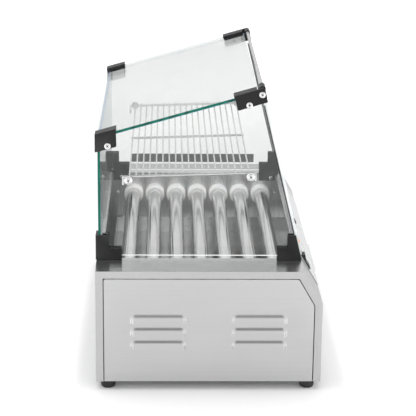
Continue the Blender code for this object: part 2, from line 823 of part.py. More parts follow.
# --------------------------------------------------------- corner brackets
# Each has a plate on the outside of the end glass. The upper ones wrap over
# the roof and show round-headed screws; the lower rear ones wrap round the
# rear glass.
PLATE_X = (HOOD_X + GAP, HOOD_X + GAP + 4.0)
WRAP = 3.3                # thickness of the straps over the roof
BRACKET_REAR = -1.0
SCREW_R = 4.6
SCREW_STAND = 2.2
SCREW_HEAD = [
    (-1.5, 0), (-1.5, SCREW_R), (0.6, SCREW_R),
    (SCREW_STAND * 0.8, SCREW_R * 0.66), (SCREW_STAND, 0),
]

# The lower brackets are channels: a web under the glass's foot joins the outer
# plate to an inner leg, which hangs a little way into the bay and takes a screw.
LEG_X = (HOOD_X - GLASS - GAP - 3.7, HOOD_X - GLASS - GAP)
LEG_Z = 168.0
WEB_Z = (GLASS_FOOT, END_FOOT_Z - GAP)
LEG_SCREW = [(-1.5, 0), (-1.5, 3.0), (0.5, 3.0), (1.4, 2.2), (1.8, 0)]

# Stepped edges that plate and leg share, (depth, z).
REAR_TOP = 216.8
REAR_STEP = [(36.4, 198.0), (18.1, 198.0), (18.1, REAR_TOP)]
FRONT_TOP = 217.5
FRONT_STEP = [(275.0, FRONT_TOP), (275.0, 198.6), (260.0, 198.6)]


def strap(side, outline, x_in):
    """A piece of a bracket that reaches in past a glass, from the plate to x_in."""
    return plate("strap", [outline], sided(side, x_in, PLATE_X[1]), cutters)


def roof_strap(side, rear, front):
    outline = [
        (rear, roof_z(rear, -WRAP - GAP)),
        (front, roof_z(front, -WRAP - GAP)),
        (front, roof_z(front, -GAP)),
        (rear, roof_z(rear, -GAP)),
    ]
    return strap(side, outline, HOOD_X - 18)


def screw_head(side, depth, z):
    return turned("head", SCREW_HEAD, axis_x(depth, z, side * PLATE_X[1], side), 14, cutters)


def leg(side, outline, web_depths, screw):
    """The inner leg and web of a lower bracket, and the leg's screw at (depth, z)."""
    web_x = sided(side, LEG_X[0] + 1.0, PLATE_X[1] - 1.0)
    return [
        plate("leg", [outline], sided(side, *LEG_X), cutters),
        plate("web", [rectangle(web_depths, WEB_Z)], web_x, cutters),
        turned("head", LEG_SCREW, axis_x(*screw, side * LEG_X[0], -side), SMALL_STEPS, cutters),
    ]


def make_lower_rear_bracket(name, side):
    def outline(rear, foot):
        return [(rear, foot), (36.4, foot)] + REAR_STEP + [(rear, REAR_TOP)]

    plate_outline = outline(BRACKET_REAR, GLASS_FOOT)
    bracket = plate(f"{name}_lower_rear_bracket", [plate_outline], sided(side, *PLATE_X))
    behind_glass = rectangle((BRACKET_REAR, REAR_GLASS - GAP), (GLASS_FOOT, REAR_TOP))
    join(
        bracket,
        strap(side, behind_glass, HOOD_X - 20),
        *leg(side, outline(8.3, LEG_Z), (9.3, 35.4), (22.5, 174.0)),
    )
    finish(bracket, black, smooth=False)


def make_lower_front_bracket(name, side):
    def sloping_edge(out):
        return [(front_depth(z, out), z) for z in (GLASS_FOOT, FRONT_TOP)]

    plate_outline = [(260.0, GLASS_FOOT)] + sloping_edge(2.4) + FRONT_STEP
    bracket = plate(f"{name}_lower_front_bracket", [plate_outline], sided(side, *PLATE_X))
    bay_edge = BAY_DEPTH[1] - GAP
    leg_foot = [(260.0, LEG_Z), (bay_edge, LEG_Z), (bay_edge, GLASS_FOOT)]
    leg_outline = leg_foot + sloping_edge(0.0) + FRONT_STEP
    join(bracket, *leg(side, leg_outline, (261.0, 290.0), (280.5, 173.0)))
    finish(bracket, black, smooth=False)


def upper_plate(name, side, corners):
    """An outer plate from corners of (depth, distance below the roof's upper face)."""
    outline = [(depth, roof_z(depth, below)) for depth, below in corners]
    return plate(name, [outline], sided(side, *PLATE_X))


def make_upper_rear_bracket(name, side):
    corners = [
        (BRACKET_REAR, -WRAP - GAP), (29.0, -WRAP - GAP),
        (29.5, 21.5), (BRACKET_REAR, 21.5),
    ]
    bracket = upper_plate(f"{name}_upper_rear_bracket", side, corners)
    join(bracket, roof_strap(side, BRACKET_REAR, 29.0), screw_head(side, 17.1, 349.0))
    finish(bracket, black, smooth=False)


def make_upper_front_bracket(name, side):
    corners = [(194.5, -WRAP - GAP), (236.0, -WRAP - GAP), (242.0, 17.5), (200.0, 18.0)]
    bracket = upper_plate(f"{name}_upper_front_bracket", side, corners)
    join(
        bracket,
        roof_strap(side, 194.5, 226.5),
        screw_head(side, 216.0, 408.7),
        screw_head(side, HINGE[0] - 0.8, 423.6),
    )
    # Blind hole in which the hinge rod turns.
    pivot = circle(*HINGE, HINGE_ROD_R + 0.4, SMALL_STEPS)
    cut(bracket, plate("pivot", [pivot], sided(side, HOOD_X - 6, HOOD_X + 3.2), cutters))
    finish(bracket, black, smooth=False)


# --------------------------------------------------------------- bun shelf
SHELF_DEPTH = (47.6, 217.6)   # first and last wire
SHELF_WIRES = 19
SHELF_Z = 302.2               # top of the end bars at the rear wire
SHELF_RISE = 0.0339
SHELF_X = 222.0
WIRE_R = 1.15
BAR_R = 2.0
END_BAR_DEPTH = (43.0, 222.5)
MIDDLE_BAR_DEPTH = (46.0, 219.2)
STUD_R = 2.7
STUD_END = HOOD_X + 1.5
RISER_R = 2.2
STUD_HEAD = [(-1.2, 0), (-1.2, 5.2), (0.3, 5.2), (1.6, 3.2), (2.0, 0)]


def shelf_z(depth):
    return SHELF_Z + SHELF_RISE * (depth - SHELF_DEPTH[0])


def shelf_bar(name, x, depths, sides, where=cutters):
    start, end = [(x, depth, shelf_z(depth) - BAR_R) for depth in depths]
    return rod(name, start, end, BAR_R, sides, where)


def shelf_hook(side, depth, z):
    """A headed stud through the end glass, and the riser from it to the end bar."""
    x = side * SHELF_X
    stud_start = (side * (SHELF_X - 1.0), depth, z)
    head_place = axis_x(depth, z, side * STUD_END, side)
    return [
        rod("stud", stud_start, (side * STUD_END, depth, z), STUD_R, 8),
        turned("head", STUD_HEAD, head_place, SMALL_STEPS, cutters),
        rod("riser", (x, depth, z - 1.5), (x, depth, shelf_z(depth) - BAR_R), RISER_R, 8),
    ]


def make_shelf():
    shelf = shelf_bar("bun_shelf", -SHELF_X, END_BAR_DEPTH, 8, parts)
    pieces = [
        shelf_bar("right_bar", SHELF_X, END_BAR_DEPTH, 8),
        shelf_bar("middle_bar", 0, MIDDLE_BAR_DEPTH, 6),
    ]
    rear, front = SHELF_DEPTH
    wire_x = SHELF_X + 1.2
    for i in range(SHELF_WIRES):
        depth = rear + (front - rear) * i / (SHELF_WIRES - 1)
        z = shelf_z(depth) + WIRE_R - 0.6  # sunk 0.6 into the bars
        pieces.append(rod("wire", (-wire_x, depth, z), (wire_x, depth, z), WIRE_R, 6))
    for _, side in SIDES:
        for depth, z in HOOKS:
            pieces += shelf_hook(side, depth, z)
    finish(combine(shelf, pieces, "UNION", "MANIFOLD"), wire_chrome)


# ------------------------------------------------------------------- build
make_shell()
make_bottom()
make_feet()
make_control_panel()
make_switch_housing()
make_rocker()
make_lamp_and_cap()
make_inlet()
make_rollers()
make_right_seals()
make_left_strip()
make_heaters()
make_roller_sprockets()
make_chain()
make_drive_sprocket()
make_gear_motor()
make_tray()
make_rear_glass()
make_top_glass()
make_door()
make_hinge()
make_shelf()
for side_name, side_sign in SIDES:
    make_end_panel(side_name, side_sign)
    make_bearing_plate(side_name, side_sign)
    make_end_glass(side_name, side_sign)
    make_lower_rear_bracket(side_name, side_sign)
    make_lower_front_bracket(side_name, side_sign)
    make_upper_rear_bracket(side_name, side_sign)
    make_upper_front_bracket(side_name, side_sign)
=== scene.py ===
"""A countertop roller grill under a glass hood.

The cabinet's length lies along X, with its left end at -X. Its rear faces +Y and its
front, where the glass door is, faces -Y. Z is up from the floor at z = 0.

Sizes are in millimetres. A place is given as (x, depth, z) and a point of the end
elevation as (depth, z), where depth runs forward from the cabinet's rear face.
Materials, lights and the camera use metres, and so does the floor.
"""
import functools
import math

import bmesh
import bpy
from mathutils import Matrix, Vector


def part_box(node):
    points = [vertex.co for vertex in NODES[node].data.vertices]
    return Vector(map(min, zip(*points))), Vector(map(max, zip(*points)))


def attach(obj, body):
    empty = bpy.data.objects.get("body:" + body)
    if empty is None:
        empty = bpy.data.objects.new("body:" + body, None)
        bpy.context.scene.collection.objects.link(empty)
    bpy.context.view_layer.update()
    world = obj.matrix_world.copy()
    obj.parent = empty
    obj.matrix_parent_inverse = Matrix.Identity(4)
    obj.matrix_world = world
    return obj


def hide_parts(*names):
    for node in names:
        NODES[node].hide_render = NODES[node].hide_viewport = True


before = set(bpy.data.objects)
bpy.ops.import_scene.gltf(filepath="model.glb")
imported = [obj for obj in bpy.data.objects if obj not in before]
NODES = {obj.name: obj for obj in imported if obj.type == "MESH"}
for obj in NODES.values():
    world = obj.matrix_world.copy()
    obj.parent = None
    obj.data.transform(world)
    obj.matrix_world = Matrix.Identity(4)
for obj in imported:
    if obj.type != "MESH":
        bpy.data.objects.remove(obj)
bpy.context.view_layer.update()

MM = 0.001
REAR_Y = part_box("outer_shell")[1].y * 1000
SIDES = (("left", -1), ("right", 1))

# Cabinet profile
BASE_Z = 13.5
DECK_Z = 180.5
SLOPE_TOP = (294.9, DECK_Z)
SLOPE_FOOT = (322.8, 132.5)

# Rollers
ROLLER_COUNT = 7
ROLLER_PITCH = 36.4
ROLLER_START = 43.8
ROLLER_Z = 145.1
ROLLER_DEPTHS = [ROLLER_START + ROLLER_PITCH * i for i in range(ROLLER_COUNT)]

# Hood: outer and inner faces of the end glasses, the roof and the sloping door
GLASS_X = 234.0
GLASS_INNER_X = 229.9
ROOF_REAR_Z = 361.9
ROOF_RISE = 0.2865              # rise per unit of depth
DOOR_FOOT_DEPTH = 293.0
DOOR_RUN = 0.246                # lean to the rear per unit of height


# --------------------------------------------------------------------------
# Node helpers


def even(value):
    """Three equal parts: a grey, or a scale alike in every direction."""
    return (value, value, value)


class Nodes:
    """A node tree, emptied, with a few shorthand calls."""

    def __init__(self, tree):
        self.tree = tree
        tree.nodes.clear()

    def new(self, kind):
        return self.tree.nodes.new(kind)

    def link(self, source, target):
        self.tree.links.new(source, target)

    def math(self, operation, first, second=0.0, clamp=False):
        node = self.new("ShaderNodeMath")
        node.operation = operation
        node.use_clamp = clamp
        for socket, value in zip(node.inputs, (first, second)):
            if isinstance(value, (int, float)):
                socket.default_value = value
            else:
                self.link(value, socket)
        return node.outputs[0]

    def add(self, first, second, clamp=False):
        return self.math("ADD", first, second, clamp)

    def multiply(self, first, second):
        return self.math("MULTIPLY", first, second)

    def span(self, value, over, to=(0, 1), smooth=False):
        """The value's range `over` carried to the range `to`."""
        node = self.new("ShaderNodeMapRange")
        if smooth:
            node.interpolation_type = "SMOOTHSTEP"
        self.link(value, node.inputs[0])
        for i, number in enumerate((*over, *to)):
            node.inputs[i + 1].default_value = number
        return node.outputs[0]

    def ramp(self, value, over, to=(0, 1)):
        return self.span(value, over, to, smooth=True)

    def split(self, vector):
        node = self.new("ShaderNodeSeparateXYZ")
        self.link(vector, node.inputs[0])
        return node.outputs


class Look(Nodes):
    """A material built round a Principled shader."""

    def __init__(self, name, base, rough, metal=0.0):
        self.mat = bpy.data.materials.new(name)
        self.mat.use_nodes = True
        super().__init__(self.mat.node_tree)
        self.out = self.new("ShaderNodeOutputMaterial")
        self.bsdf = self.new("ShaderNodeBsdfPrincipled")
        self.set("Base Color", (*base, 1.0))
        self.set("Roughness", rough)
        self.set("Metallic", metal)
        self.show(self.bsdf.outputs[0])
        self.coord = self.new("ShaderNodeTexCoord").outputs["Object"]
        self.mat.diffuse_color = (*base, 1.0)

    def show(self, shader):
        self.link(shader, self.out.inputs[0])

    def set(self, name, value):
        self.bsdf.inputs[name].default_value = value

    def feed(self, name, socket):
        self.link(socket, self.bsdf.inputs[name])

    def mapped(self, scale):
        node = self.new("ShaderNodeMapping")
        node.inputs["Scale"].default_value = scale
        self.link(self.coord, node.inputs["Vector"])
        return node.outputs[0]

    def noise(self, scale, detail, roughness=0.5):
        node = self.new("ShaderNodeTexNoise")
        node.inputs["Scale"].default_value = 1.0
        node.inputs["Detail"].default_value = detail
        node.inputs["Roughness"].default_value = roughness
        self.link(self.mapped(scale), node.inputs["Vector"])
        return node.outputs["Fac"]

    def tint(self, factor, dark, light):
        """Base colour from dark at factor 0 to light at 1."""
        node = self.new("ShaderNodeMix")
        node.data_type = "RGBA"
        self.link(factor, node.inputs[0])
        node.inputs[6].default_value = (*dark, 1)
        node.inputs[7].default_value = (*light, 1)
        self.feed("Base Color", node.outputs[2])

    def colour(self, value, over, dark, light):
        self.tint(self.span(value, over), dark, light)

    def roughen(self, value, over, to):
        self.feed("Roughness", self.span(value, over, to))

    def bump(self, height, strength, distance):
        node = self.new("ShaderNodeBump")
        node.inputs["Strength"].default_value = strength
        node.inputs["Distance"].default_value = distance
        self.link(height, node.inputs["Height"])
        self.feed("Normal", node.outputs[0])

    def glow(self, colour, strength):
        self.set("Emission Color", (*colour, 1))
        self.set("Emission Strength", strength)

    def scatter(self, weight, scale):
        self.set("Subsurface Weight", weight)
        self.set("Subsurface Scale", scale)

    def spread(self, direction, amount):
        """Reflections spread along the direction more than at right angles to it."""
        self.set("Anisotropic", amount)
        vector = self.new("ShaderNodeVectorTransform")
        vector.vector_type = "VECTOR"
        vector.convert_from, vector.convert_to = "OBJECT", "WORLD"
        vector.inputs[0].default_value = direction
        self.feed("Tangent", vector.outputs[0])

    def edge_highlight(self, amount):
        """Painted highlight: 0 on flat faces, up to the amount on the convex edges of a dense
        mesh.
        """
        geometry = self.new("ShaderNodeNewGeometry")
        return self.span(geometry.outputs["Pointiness"], over=(0.52, 0.60), to=(0.0, amount))

    def inside(self):
        """1 where a face is seen from behind."""
        return self.new("ShaderNodeNewGeometry").outputs["Backfacing"]

    def plain(self, kind, colour):
        """A bare shader of one colour."""
        node = self.new(kind)
        node.inputs[0].default_value = (*colour, 1)
        return node

    def mix(self, factor, first, second):
        node = self.new("ShaderNodeMixShader")
        for socket, source in zip(node.inputs, (factor, first, second)):
            self.link(source, socket)
        return node.outputs[0]


# --------------------------------------------------------------------------
# Materials. Noise scales are cycles per metre, bump distances are metres.


def steel(name, base, rough, along, contrast=0.08, grain=0.035, across=None):
    """Brushed sheet: fine parallel scratches, broad clouding and a few smears.

    along is the scratches' axis; across is the direction in the sheet at right
    angles to them."""
    look = Look(name, even(base), rough, metal=1.0)
    if across:
        look.spread(across, 1.0)

    def scratches(lengthwise, crosswise):
        return tuple(lengthwise if axis == along else crosswise for axis in "XYZ")

    fine = look.noise(scratches(lengthwise=5, crosswise=1500), detail=4, roughness=0.6)
    coarse = look.noise(scratches(lengthwise=3, crosswise=330), detail=3)
    cloud = look.noise(even(7), detail=2)
    smear = look.noise((23, 31, 17), detail=4, roughness=0.6)
    # The weights of each pair add up to one.
    grainy = look.add(look.multiply(fine, 0.6), look.multiply(coarse, 0.4))
    shaded = look.add(look.multiply(grainy, 0.75), look.multiply(cloud, 0.25))
    low, high = base * (1 - contrast), base * (1 + contrast)
    # Light streaks are very slightly bluer than dark ones.
    look.colour(shaded, over=(0.3, 0.7), dark=(low, low, low * 0.998),
                light=(high, high, high * 1.005))
    look.feed("Roughness", look.add(
        look.span(grainy, over=(0.3, 0.7), to=(rough - 0.05, rough + 0.07)),
        look.span(smear, over=(0.55, 0.8), to=(0.0, 0.05))))
    look.bump(grainy, strength=grain, distance=0.0002)
    return look.mat


def polished_roller():
    """Ground and polished tube: very fine rings round it, faint haze along it."""
    look = Look("roller_steel_m", (0.8, 0.8, 0.79), rough=0.14, metal=1.0)
    rings = look.noise((1800, 25, 25), detail=4, roughness=0.6)
    haze = look.noise((9, 60, 60), detail=3, roughness=0.55)
    look.spread((1, 0, 0), 0.6)
    look.colour(haze, over=(0.3, 0.7), dark=(0.74, 0.735, 0.73), light=even(0.87))
    look.feed("Roughness", look.add(
        look.span(haze, over=(0.3, 0.75), to=(0.10, 0.17)),
        look.span(rings, over=(0.3, 0.7), to=(-0.02, 0.05))))
    look.bump(rings, strength=0.05, distance=0.0001)
    return look.mat


def moulded_black(name, base=0.006, rough=0.45, size=1700.0, bump=0.12):
    """Moulded black plastic: fine grain, convex edges paler by a painted highlight, faint dust.
    """
    look = Look(name, even(base), rough)
    grain = look.noise(even(size), detail=2)
    dust = look.noise((60, 60, 45), detail=5, roughness=0.65)
    # Paler where there is dust, and on convex edges as a painted highlight.
    dust_and_edge_highlight = look.add(
        look.edge_highlight(0.55), look.span(dust, over=(0.5, 0.8), to=(0.0, 0.16)), clamp=True)
    look.tint(dust_and_edge_highlight, dark=(base, base, base * 1.04), light=(0.045, 0.045, 0.047))
    look.roughen(dust, over=(0.3, 0.7), to=(rough - 0.05, rough + 0.12))
    look.bump(grain, strength=bump, distance=0.00012)
    look.set("Specular IOR Level", 0.28)
    return look.mat


def rubber_black():
    look = Look("rubber_m", even(0.02), rough=0.7)
    grain = look.noise(even(900), detail=3, roughness=0.6)
    dust = look.noise((45, 45, 90), detail=4, roughness=0.6)
    look.colour(dust, over=(0.45, 0.75), dark=even(0.016), light=(0.055, 0.053, 0.05))
    look.roughen(dust, over=(0.3, 0.7), to=(0.6, 0.82))
    look.bump(grain, strength=0.25, distance=0.00015)
    return look.mat


def white_ptfe():
    look = Look("ptfe_m", (0.86, 0.86, 0.84), rough=0.42)
    look.scatter(weight=0.12, scale=0.002)
    cloud = look.noise((90, 160, 160), detail=4, roughness=0.55)
    turned = look.noise((2200, 40, 40), detail=3)
    look.colour(cloud, over=(0.35, 0.7), dark=(0.97, 0.97, 0.965), light=(0.88, 0.875, 0.86))
    # Painted light: a faint glow makes the collars brighter than their lighting does.
    look.glow((1.0, 1.0, 0.99), strength=0.10)
    look.roughen(cloud, over=(0.3, 0.7), to=(0.34, 0.5))
    look.bump(turned, strength=0.06, distance=0.0001)
    return look.mat


def panel_film():
    """Pale film on the sloping panel: satin, with the finest orange peel."""
    look = Look("panel_film_m", (0.9, 0.905, 0.91), rough=0.3)
    peel = look.noise(even(1100), detail=2)
    cloud = look.noise(even(16), detail=3)
    look.colour(cloud, over=(0.35, 0.65), dark=(0.56, 0.565, 0.575),
                light=(0.62, 0.625, 0.635))
    look.roughen(cloud, over=(0.3, 0.7), to=(0.24, 0.36))
    look.set("Coat Weight", 0.25)
    look.bump(peel, strength=0.04, distance=0.0001)
    return look.mat


def amber():
    look = Look("amber_m", (0.95, 0.30, 0.03), rough=0.12)
    facets = look.noise(even(420), detail=1, roughness=0.4)
    look.colour(facets, over=(0.35, 0.65), dark=(0.85, 0.22, 0.02), light=(1.0, 0.42, 0.07))
    look.roughen(facets, over=(0.3, 0.7), to=(0.08, 0.18))
    look.scatter(weight=0.3, scale=0.003)
    look.glow((1.0, 0.33, 0.04), strength=0.12)
    return look.mat


def bright(name, base, rough):
    """Plated wire, rod and screws."""
    look = Look(name, even(base), rough, metal=1.0)
    blotch = look.noise(even(260), detail=4, roughness=0.6)
    look.colour(blotch, over=(0.3, 0.7), dark=even(base * 0.88),
                light=(base * 1.08, base * 1.08, base * 1.07))
    look.roughen(blotch, over=(0.3, 0.75), to=(rough - 0.04, rough + 0.12))
    look.bump(blotch, strength=0.05, distance=0.0001)
    return look.mat


def zinc():
    """Zinc-coated steel with flat crystal flakes."""
    look = Look("zinc_m", (0.5, 0.51, 0.52), rough=0.42, metal=1.0)
    flakes = look.new("ShaderNodeTexVoronoi")
    flakes.inputs["Scale"].default_value = 1.0
    look.link(look.mapped(even(170)), flakes.inputs["Vector"])
    look.colour(flakes.outputs["Color"], over=(0, 1), dark=(0.40, 0.41, 0.42),
                light=(0.58, 0.59, 0.60))
    cloud = look.noise(even(30), detail=4, roughness=0.6)
    look.roughen(cloud, over=(0.3, 0.7), to=(0.34, 0.52))
    look.bump(cloud, strength=0.08, distance=0.0003)
    return look.mat


def glass_face(name, through):
    """Clear pane: straight through, with a Fresnel reflection and the lightest dust."""
    look = Look(name, (0.95, 0.97, 0.96), rough=0.0)
    look.tree.nodes.remove(look.bsdf)
    clear = look.plain("ShaderNodeBsdfTransparent", (through * 0.998, through, through * 0.9995))
    shine = look.plain("ShaderNodeBsdfGlossy", (0.70, 0.72, 0.715))
    smudge = look.noise(even(26), detail=5, roughness=0.6)
    look.link(look.span(smudge, over=(0.45, 0.8), to=(0.0, 0.05)), shine.inputs["Roughness"])
    fresnel = look.new("ShaderNodeFresnel")
    # The pane's inner surfaces see the same index ratio as the outer ones.
    look.link(look.span(look.inside(), over=(0, 1), to=(1.5, 1 / 1.5)), fresnel.inputs["IOR"])
    clean = look.mix(fresnel.outputs[0], clear.outputs[0], shine.outputs[0])
    haze = look.plain("ShaderNodeBsdfDiffuse", (0.8, 0.84, 0.83))
    dust = look.span(smudge, over=(0.35, 0.85), to=(0.0, 0.02))
    look.show(look.mix(dust, clean, haze.outputs[0]))
    return look.mat


def glass_edge(name, deep, light, glow=0.0, see=0.0, lets_out=0.85):
    """Polished edge of a pane, coloured by the length of glass behind it."""
    look = Look(name, deep, rough=0.12)
    streak = look.noise((140, 140, 28), detail=3)
    look.colour(streak, over=(0.35, 0.65), dark=deep, light=light)
    look.roughen(streak, over=(0.3, 0.7), to=(0.25, 0.4))
    look.set("Specular IOR Level", 0.25)
    # A glow, where given, is a painted highlight along the edge.
    if glow:
        look.glow(light, glow)
    if see:
        look.set("Alpha", 1 - see)
    # Seen from inside the pane an edge lets most or all of its share of light out.
    clear = look.plain("ShaderNodeBsdfTransparent", (0.90, 0.92, 0.915))
    leak = look.multiply(look.inside(), lets_out)
    look.show(look.mix(leak, look.bsdf.outputs[0], clear.outputs[0]))
    return look.mat


def clamp_pad():
    look = Look("pad_m", even(0.62), rough=0.5)
    grain = look.noise(even(500), detail=3)
    look.colour(grain, over=(0.3, 0.7), dark=even(0.55), light=even(0.70))
    look.bump(grain, strength=0.1, distance=0.0001)
    return look.mat


# A dark grey strip's look: painted shade, not a real film.
def shade_strip():
    look = Look("shade_strip_m", even(0.16), rough=0.5)
    grain = look.noise((60, 300, 300), detail=3)
    look.colour(grain, over=(0.3, 0.7), dark=even(0.135), light=even(0.175))
    look.roughen(grain, over=(0.3, 0.7), to=(0.4, 0.6))
    return look.mat


M_SHELL = steel("cabinet_steel_m", base=0.60, rough=0.34, along="X")
M_DECK = steel("deck_steel_m", base=0.66, rough=0.20, along="Y", contrast=0.06, grain=0.01,
               across=(1, 0, 0))
M_PANEL = steel("end_panel_steel_m", base=0.525, rough=0.34, along="Y", contrast=0.05,
                grain=0.03)
M_FLANGE = steel("flange_steel_m", base=0.50, rough=0.38, along="Z", contrast=0.07, grain=0.03)
M_SLOPE = steel("slope_steel_m", base=0.58, rough=0.30, along="X", contrast=0.06, grain=0.03)
M_INNER = steel("inner_steel_m", base=0.68, rough=0.28, along="Z", contrast=0.10, grain=0.04)
M_TRAY = steel("tray_steel_m", base=0.75, rough=0.15, along="X", contrast=0.06, grain=0.02)
M_ROLLER = polished_roller()
M_PTFE = white_ptfe()
M_BLACK = moulded_black("bracket_black_m")
M_SWITCH = moulded_black("switch_black_m", base=0.012, rough=0.25, size=2600.0, bump=0.05)
M_RUBBER = rubber_black()
M_FILM = panel_film()
M_AMBER = amber()
M_WIRE = bright("shelf_wire_m", base=0.82, rough=0.14)
M_SCREW = bright("screw_m", base=0.80, rough=0.2)
# Near-black in the cross recess of the bright screws: painted shade.
M_RECESS_SHADE = moulded_black("screw_recess_shade_m", base=0.01, rough=0.5, size=900.0, bump=0.1)
M_ROD = bright("hinge_rod_m", base=0.55, rough=0.28)
M_ZINC = zinc()
M_GLASS = glass_face("glass_face_m", through=0.945)
M_GLASS_TOP = glass_face("glass_top_m", through=0.985)
# The glow given to the green, pale and foot edges below is a painted highlight, strongest on the
# foot edge.
M_GREEN = glass_edge("glass_edge_green_m", deep=(0.0, 0.070, 0.050),
                     light=(0.001, 0.150, 0.105), glow=0.03)
M_BLUE = glass_edge("glass_edge_blue_m", deep=(0.22, 0.34, 0.52), light=(0.38, 0.50, 0.66),
                    see=0.15)
M_PALE = glass_edge("glass_edge_pale_m", deep=(0.70, 0.74, 0.74), light=(0.86, 0.88, 0.88),
                    glow=0.05, see=0.1)
M_FOOT_EDGE_HIGHLIGHT = glass_edge("glass_edge_foot_m", deep=(0.84, 0.87, 0.87),
                          light=(0.94, 0.95, 0.95), glow=0.35, lets_out=0.0)
M_PAD = clamp_pad()
M_STRIP = shade_strip()

# --------------------------------------------------------------------------
# Mesh helpers. A `shape` is a bmesh under construction.


def point(x, depth, z):
    return Vector((x * MM, (REAR_Y - depth) * MM, z * MM))


def along_x(x, depth, z, sign=1):
    """A frame at the place whose local Z points along +X or -X."""
    turn = Matrix.Rotation(sign * math.pi / 2, 4, "Y")
    return Matrix.Translation(point(x, depth, z)) @ turn


def set_shading(mesh, angle):
    mesh.shade_smooth()
    mesh.set_sharp_from_angle(angle=math.radians(angle))


def make(name, shape, mats, angle=32):
    mesh = bpy.data.meshes.new(name)
    shape.to_mesh(mesh)
    shape.free()
    for mat in mats if isinstance(mats, (list, tuple)) else [mats]:
        mesh.materials.append(mat)
    set_shading(mesh, angle)
    obj = bpy.data.objects.new(name, mesh)
    bpy.context.scene.collection.objects.link(obj)
    return obj


def seat(obj, body, slot, *stands_for):
    if stands_for:
        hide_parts(*stands_for)
    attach(obj, body)


def bake(obj):
    """Turns the object's modifiers into its mesh."""
    bpy.context.view_layer.update()
    graph = bpy.context.evaluated_depsgraph_get()
    mesh = bpy.data.meshes.new_from_object(obj.evaluated_get(graph))
    obj.modifiers.clear()
    mesh.name = obj.name
    obj.data = mesh


def set_material(mesh, *mats):
    mesh.materials.clear()
    for mat in mats:
        mesh.materials.append(mat)


def round_edges(obj, width, segments=2):
    modifier = obj.modifiers.new("edges", "BEVEL")
    modifier.width = width * MM
    modifier.segments = segments
    modifier.limit_method = "ANGLE"
    modifier.angle_limit = math.radians(30)
    modifier.use_clamp_overlap = True
    modifier.miter_outer = "MITER_ARC"
    bake(obj)
    set_shading(obj.data, 40)
    modifier = obj.modifiers.new("flat", "WEIGHTED_NORMAL")
    modifier.keep_sharp = True
    bake(obj)


def boolean(obj, others, operation):
    for other in others:
        modifier = obj.modifiers.new("b", "BOOLEAN")
        modifier.operation = operation
        modifier.solver = "EXACT"
        modifier.object = other
    bake(obj)
    for other in others:
        bpy.data.objects.remove(other, do_unlink=True)


def weld(shape):
    """Joins doubled vertices and merges coplanar faces."""
    bmesh.ops.remove_doubles(shape, verts=shape.verts, dist=2e-6)
    bmesh.ops.dissolve_limit(
        shape, angle_limit=math.radians(1.0), verts=shape.verts, edges=shape.edges)


def refined(node, body, slot, mats, width, segments=2, pick=None, name=None):
    """A copy of a CAD node with welded faces and rounded edges, which stands for it.

    pick gives a face's material index."""
    shape = bmesh.new()
    shape.from_mesh(NODES[node].data)
    weld(shape)
    bmesh.ops.recalc_face_normals(shape, faces=shape.faces)
    if pick:
        shape.normal_update()
        for face in shape.faces:
            face.material_index = pick(face)
    obj = make(name or node + "_fine", shape, mats)
    if width:
        round_edges(obj, width, segments)
    seat(obj, body, slot, node)


def skin(shape, rings):
    """Walls between successive rings of vertices, and a cap on each end."""
    made = [shape.faces.new(rings[0]), shape.faces.new(rings[-1])]
    count = len(rings[0])
    for near, far in zip(rings, rings[1:]):
        for i in range(count):
            j = (i + 1) % count
            made.append(shape.faces.new((near[i], near[j], far[j], far[i])))
    bmesh.ops.recalc_face_normals(shape, faces=made)


def slab(shape, outline, x_ends):
    """A (depth, z) outline extruded between two places on X."""
    skin(shape, [[shape.verts.new(point(x, depth, z)) for depth, z in outline] for x in x_ends])


def prism(name, outline, x_ends, mats, sign=1):
    """An outline extruded along X; sign -1 puts it at the left end."""
    shape = bmesh.new()
    slab(shape, outline, sorted(sign * x for x in x_ends))
    return make(name, shape, mats)


def lathe(profile, steps, matrix, closed=True, shape=None):
    """(distance along local Z, radius) points turned about local Z, added to shape."""
    shape = shape or bmesh.new()
    rings = []
    for distance, radius in profile:
        ring = []
        for i in range(1 if radius == 0 else steps):
            angle = 2 * math.pi * i / steps
            local = (radius * MM * math.cos(angle), radius * MM * math.sin(angle), distance * MM)
            ring.append(shape.verts.new(matrix @ Vector(local)))
        rings.append(ring)
    following = rings[1:] + (rings[:1] if closed else [])
    made = []
    for near, far in zip(rings, following):
        for i in range(steps):
            j = (i + 1) % steps
            if len(near) == 1:
                corners = (near[0], far[j], far[i])
            elif len(far) == 1:
                corners = (near[i], near[j], far[0])
            else:
                corners = (near[i], near[j], far[j], far[i])
            made.append(shape.faces.new(corners))
    bmesh.ops.recalc_face_normals(shape, faces=made)
    return shape


def bend_points(start, corner, end, steps):
    """A quadratic curve from start to end, pulled to the corner."""
    curve = []
    for i in range(steps + 1):
        t = i / steps
        curve.append((1 - t) ** 2 * start + 2 * t * (1 - t) * corner + t ** 2 * end)
    return curve


def wire_path(points, bend):
    places = [point(*place) for place in points]
    path = [places[0]]
    for before, corner, after in zip(places, places[1:], places[2:]):
        if bend:
            to_before, to_after = (before - corner).normalized(), (after - corner).normalized()
            back = bend * MM / math.tan(to_before.angle(to_after) / 2)
            path += bend_points(corner + to_before * back, corner, corner + to_after * back, 8)
        else:
            path.append(corner)
    path.append(places[-1])
    return path


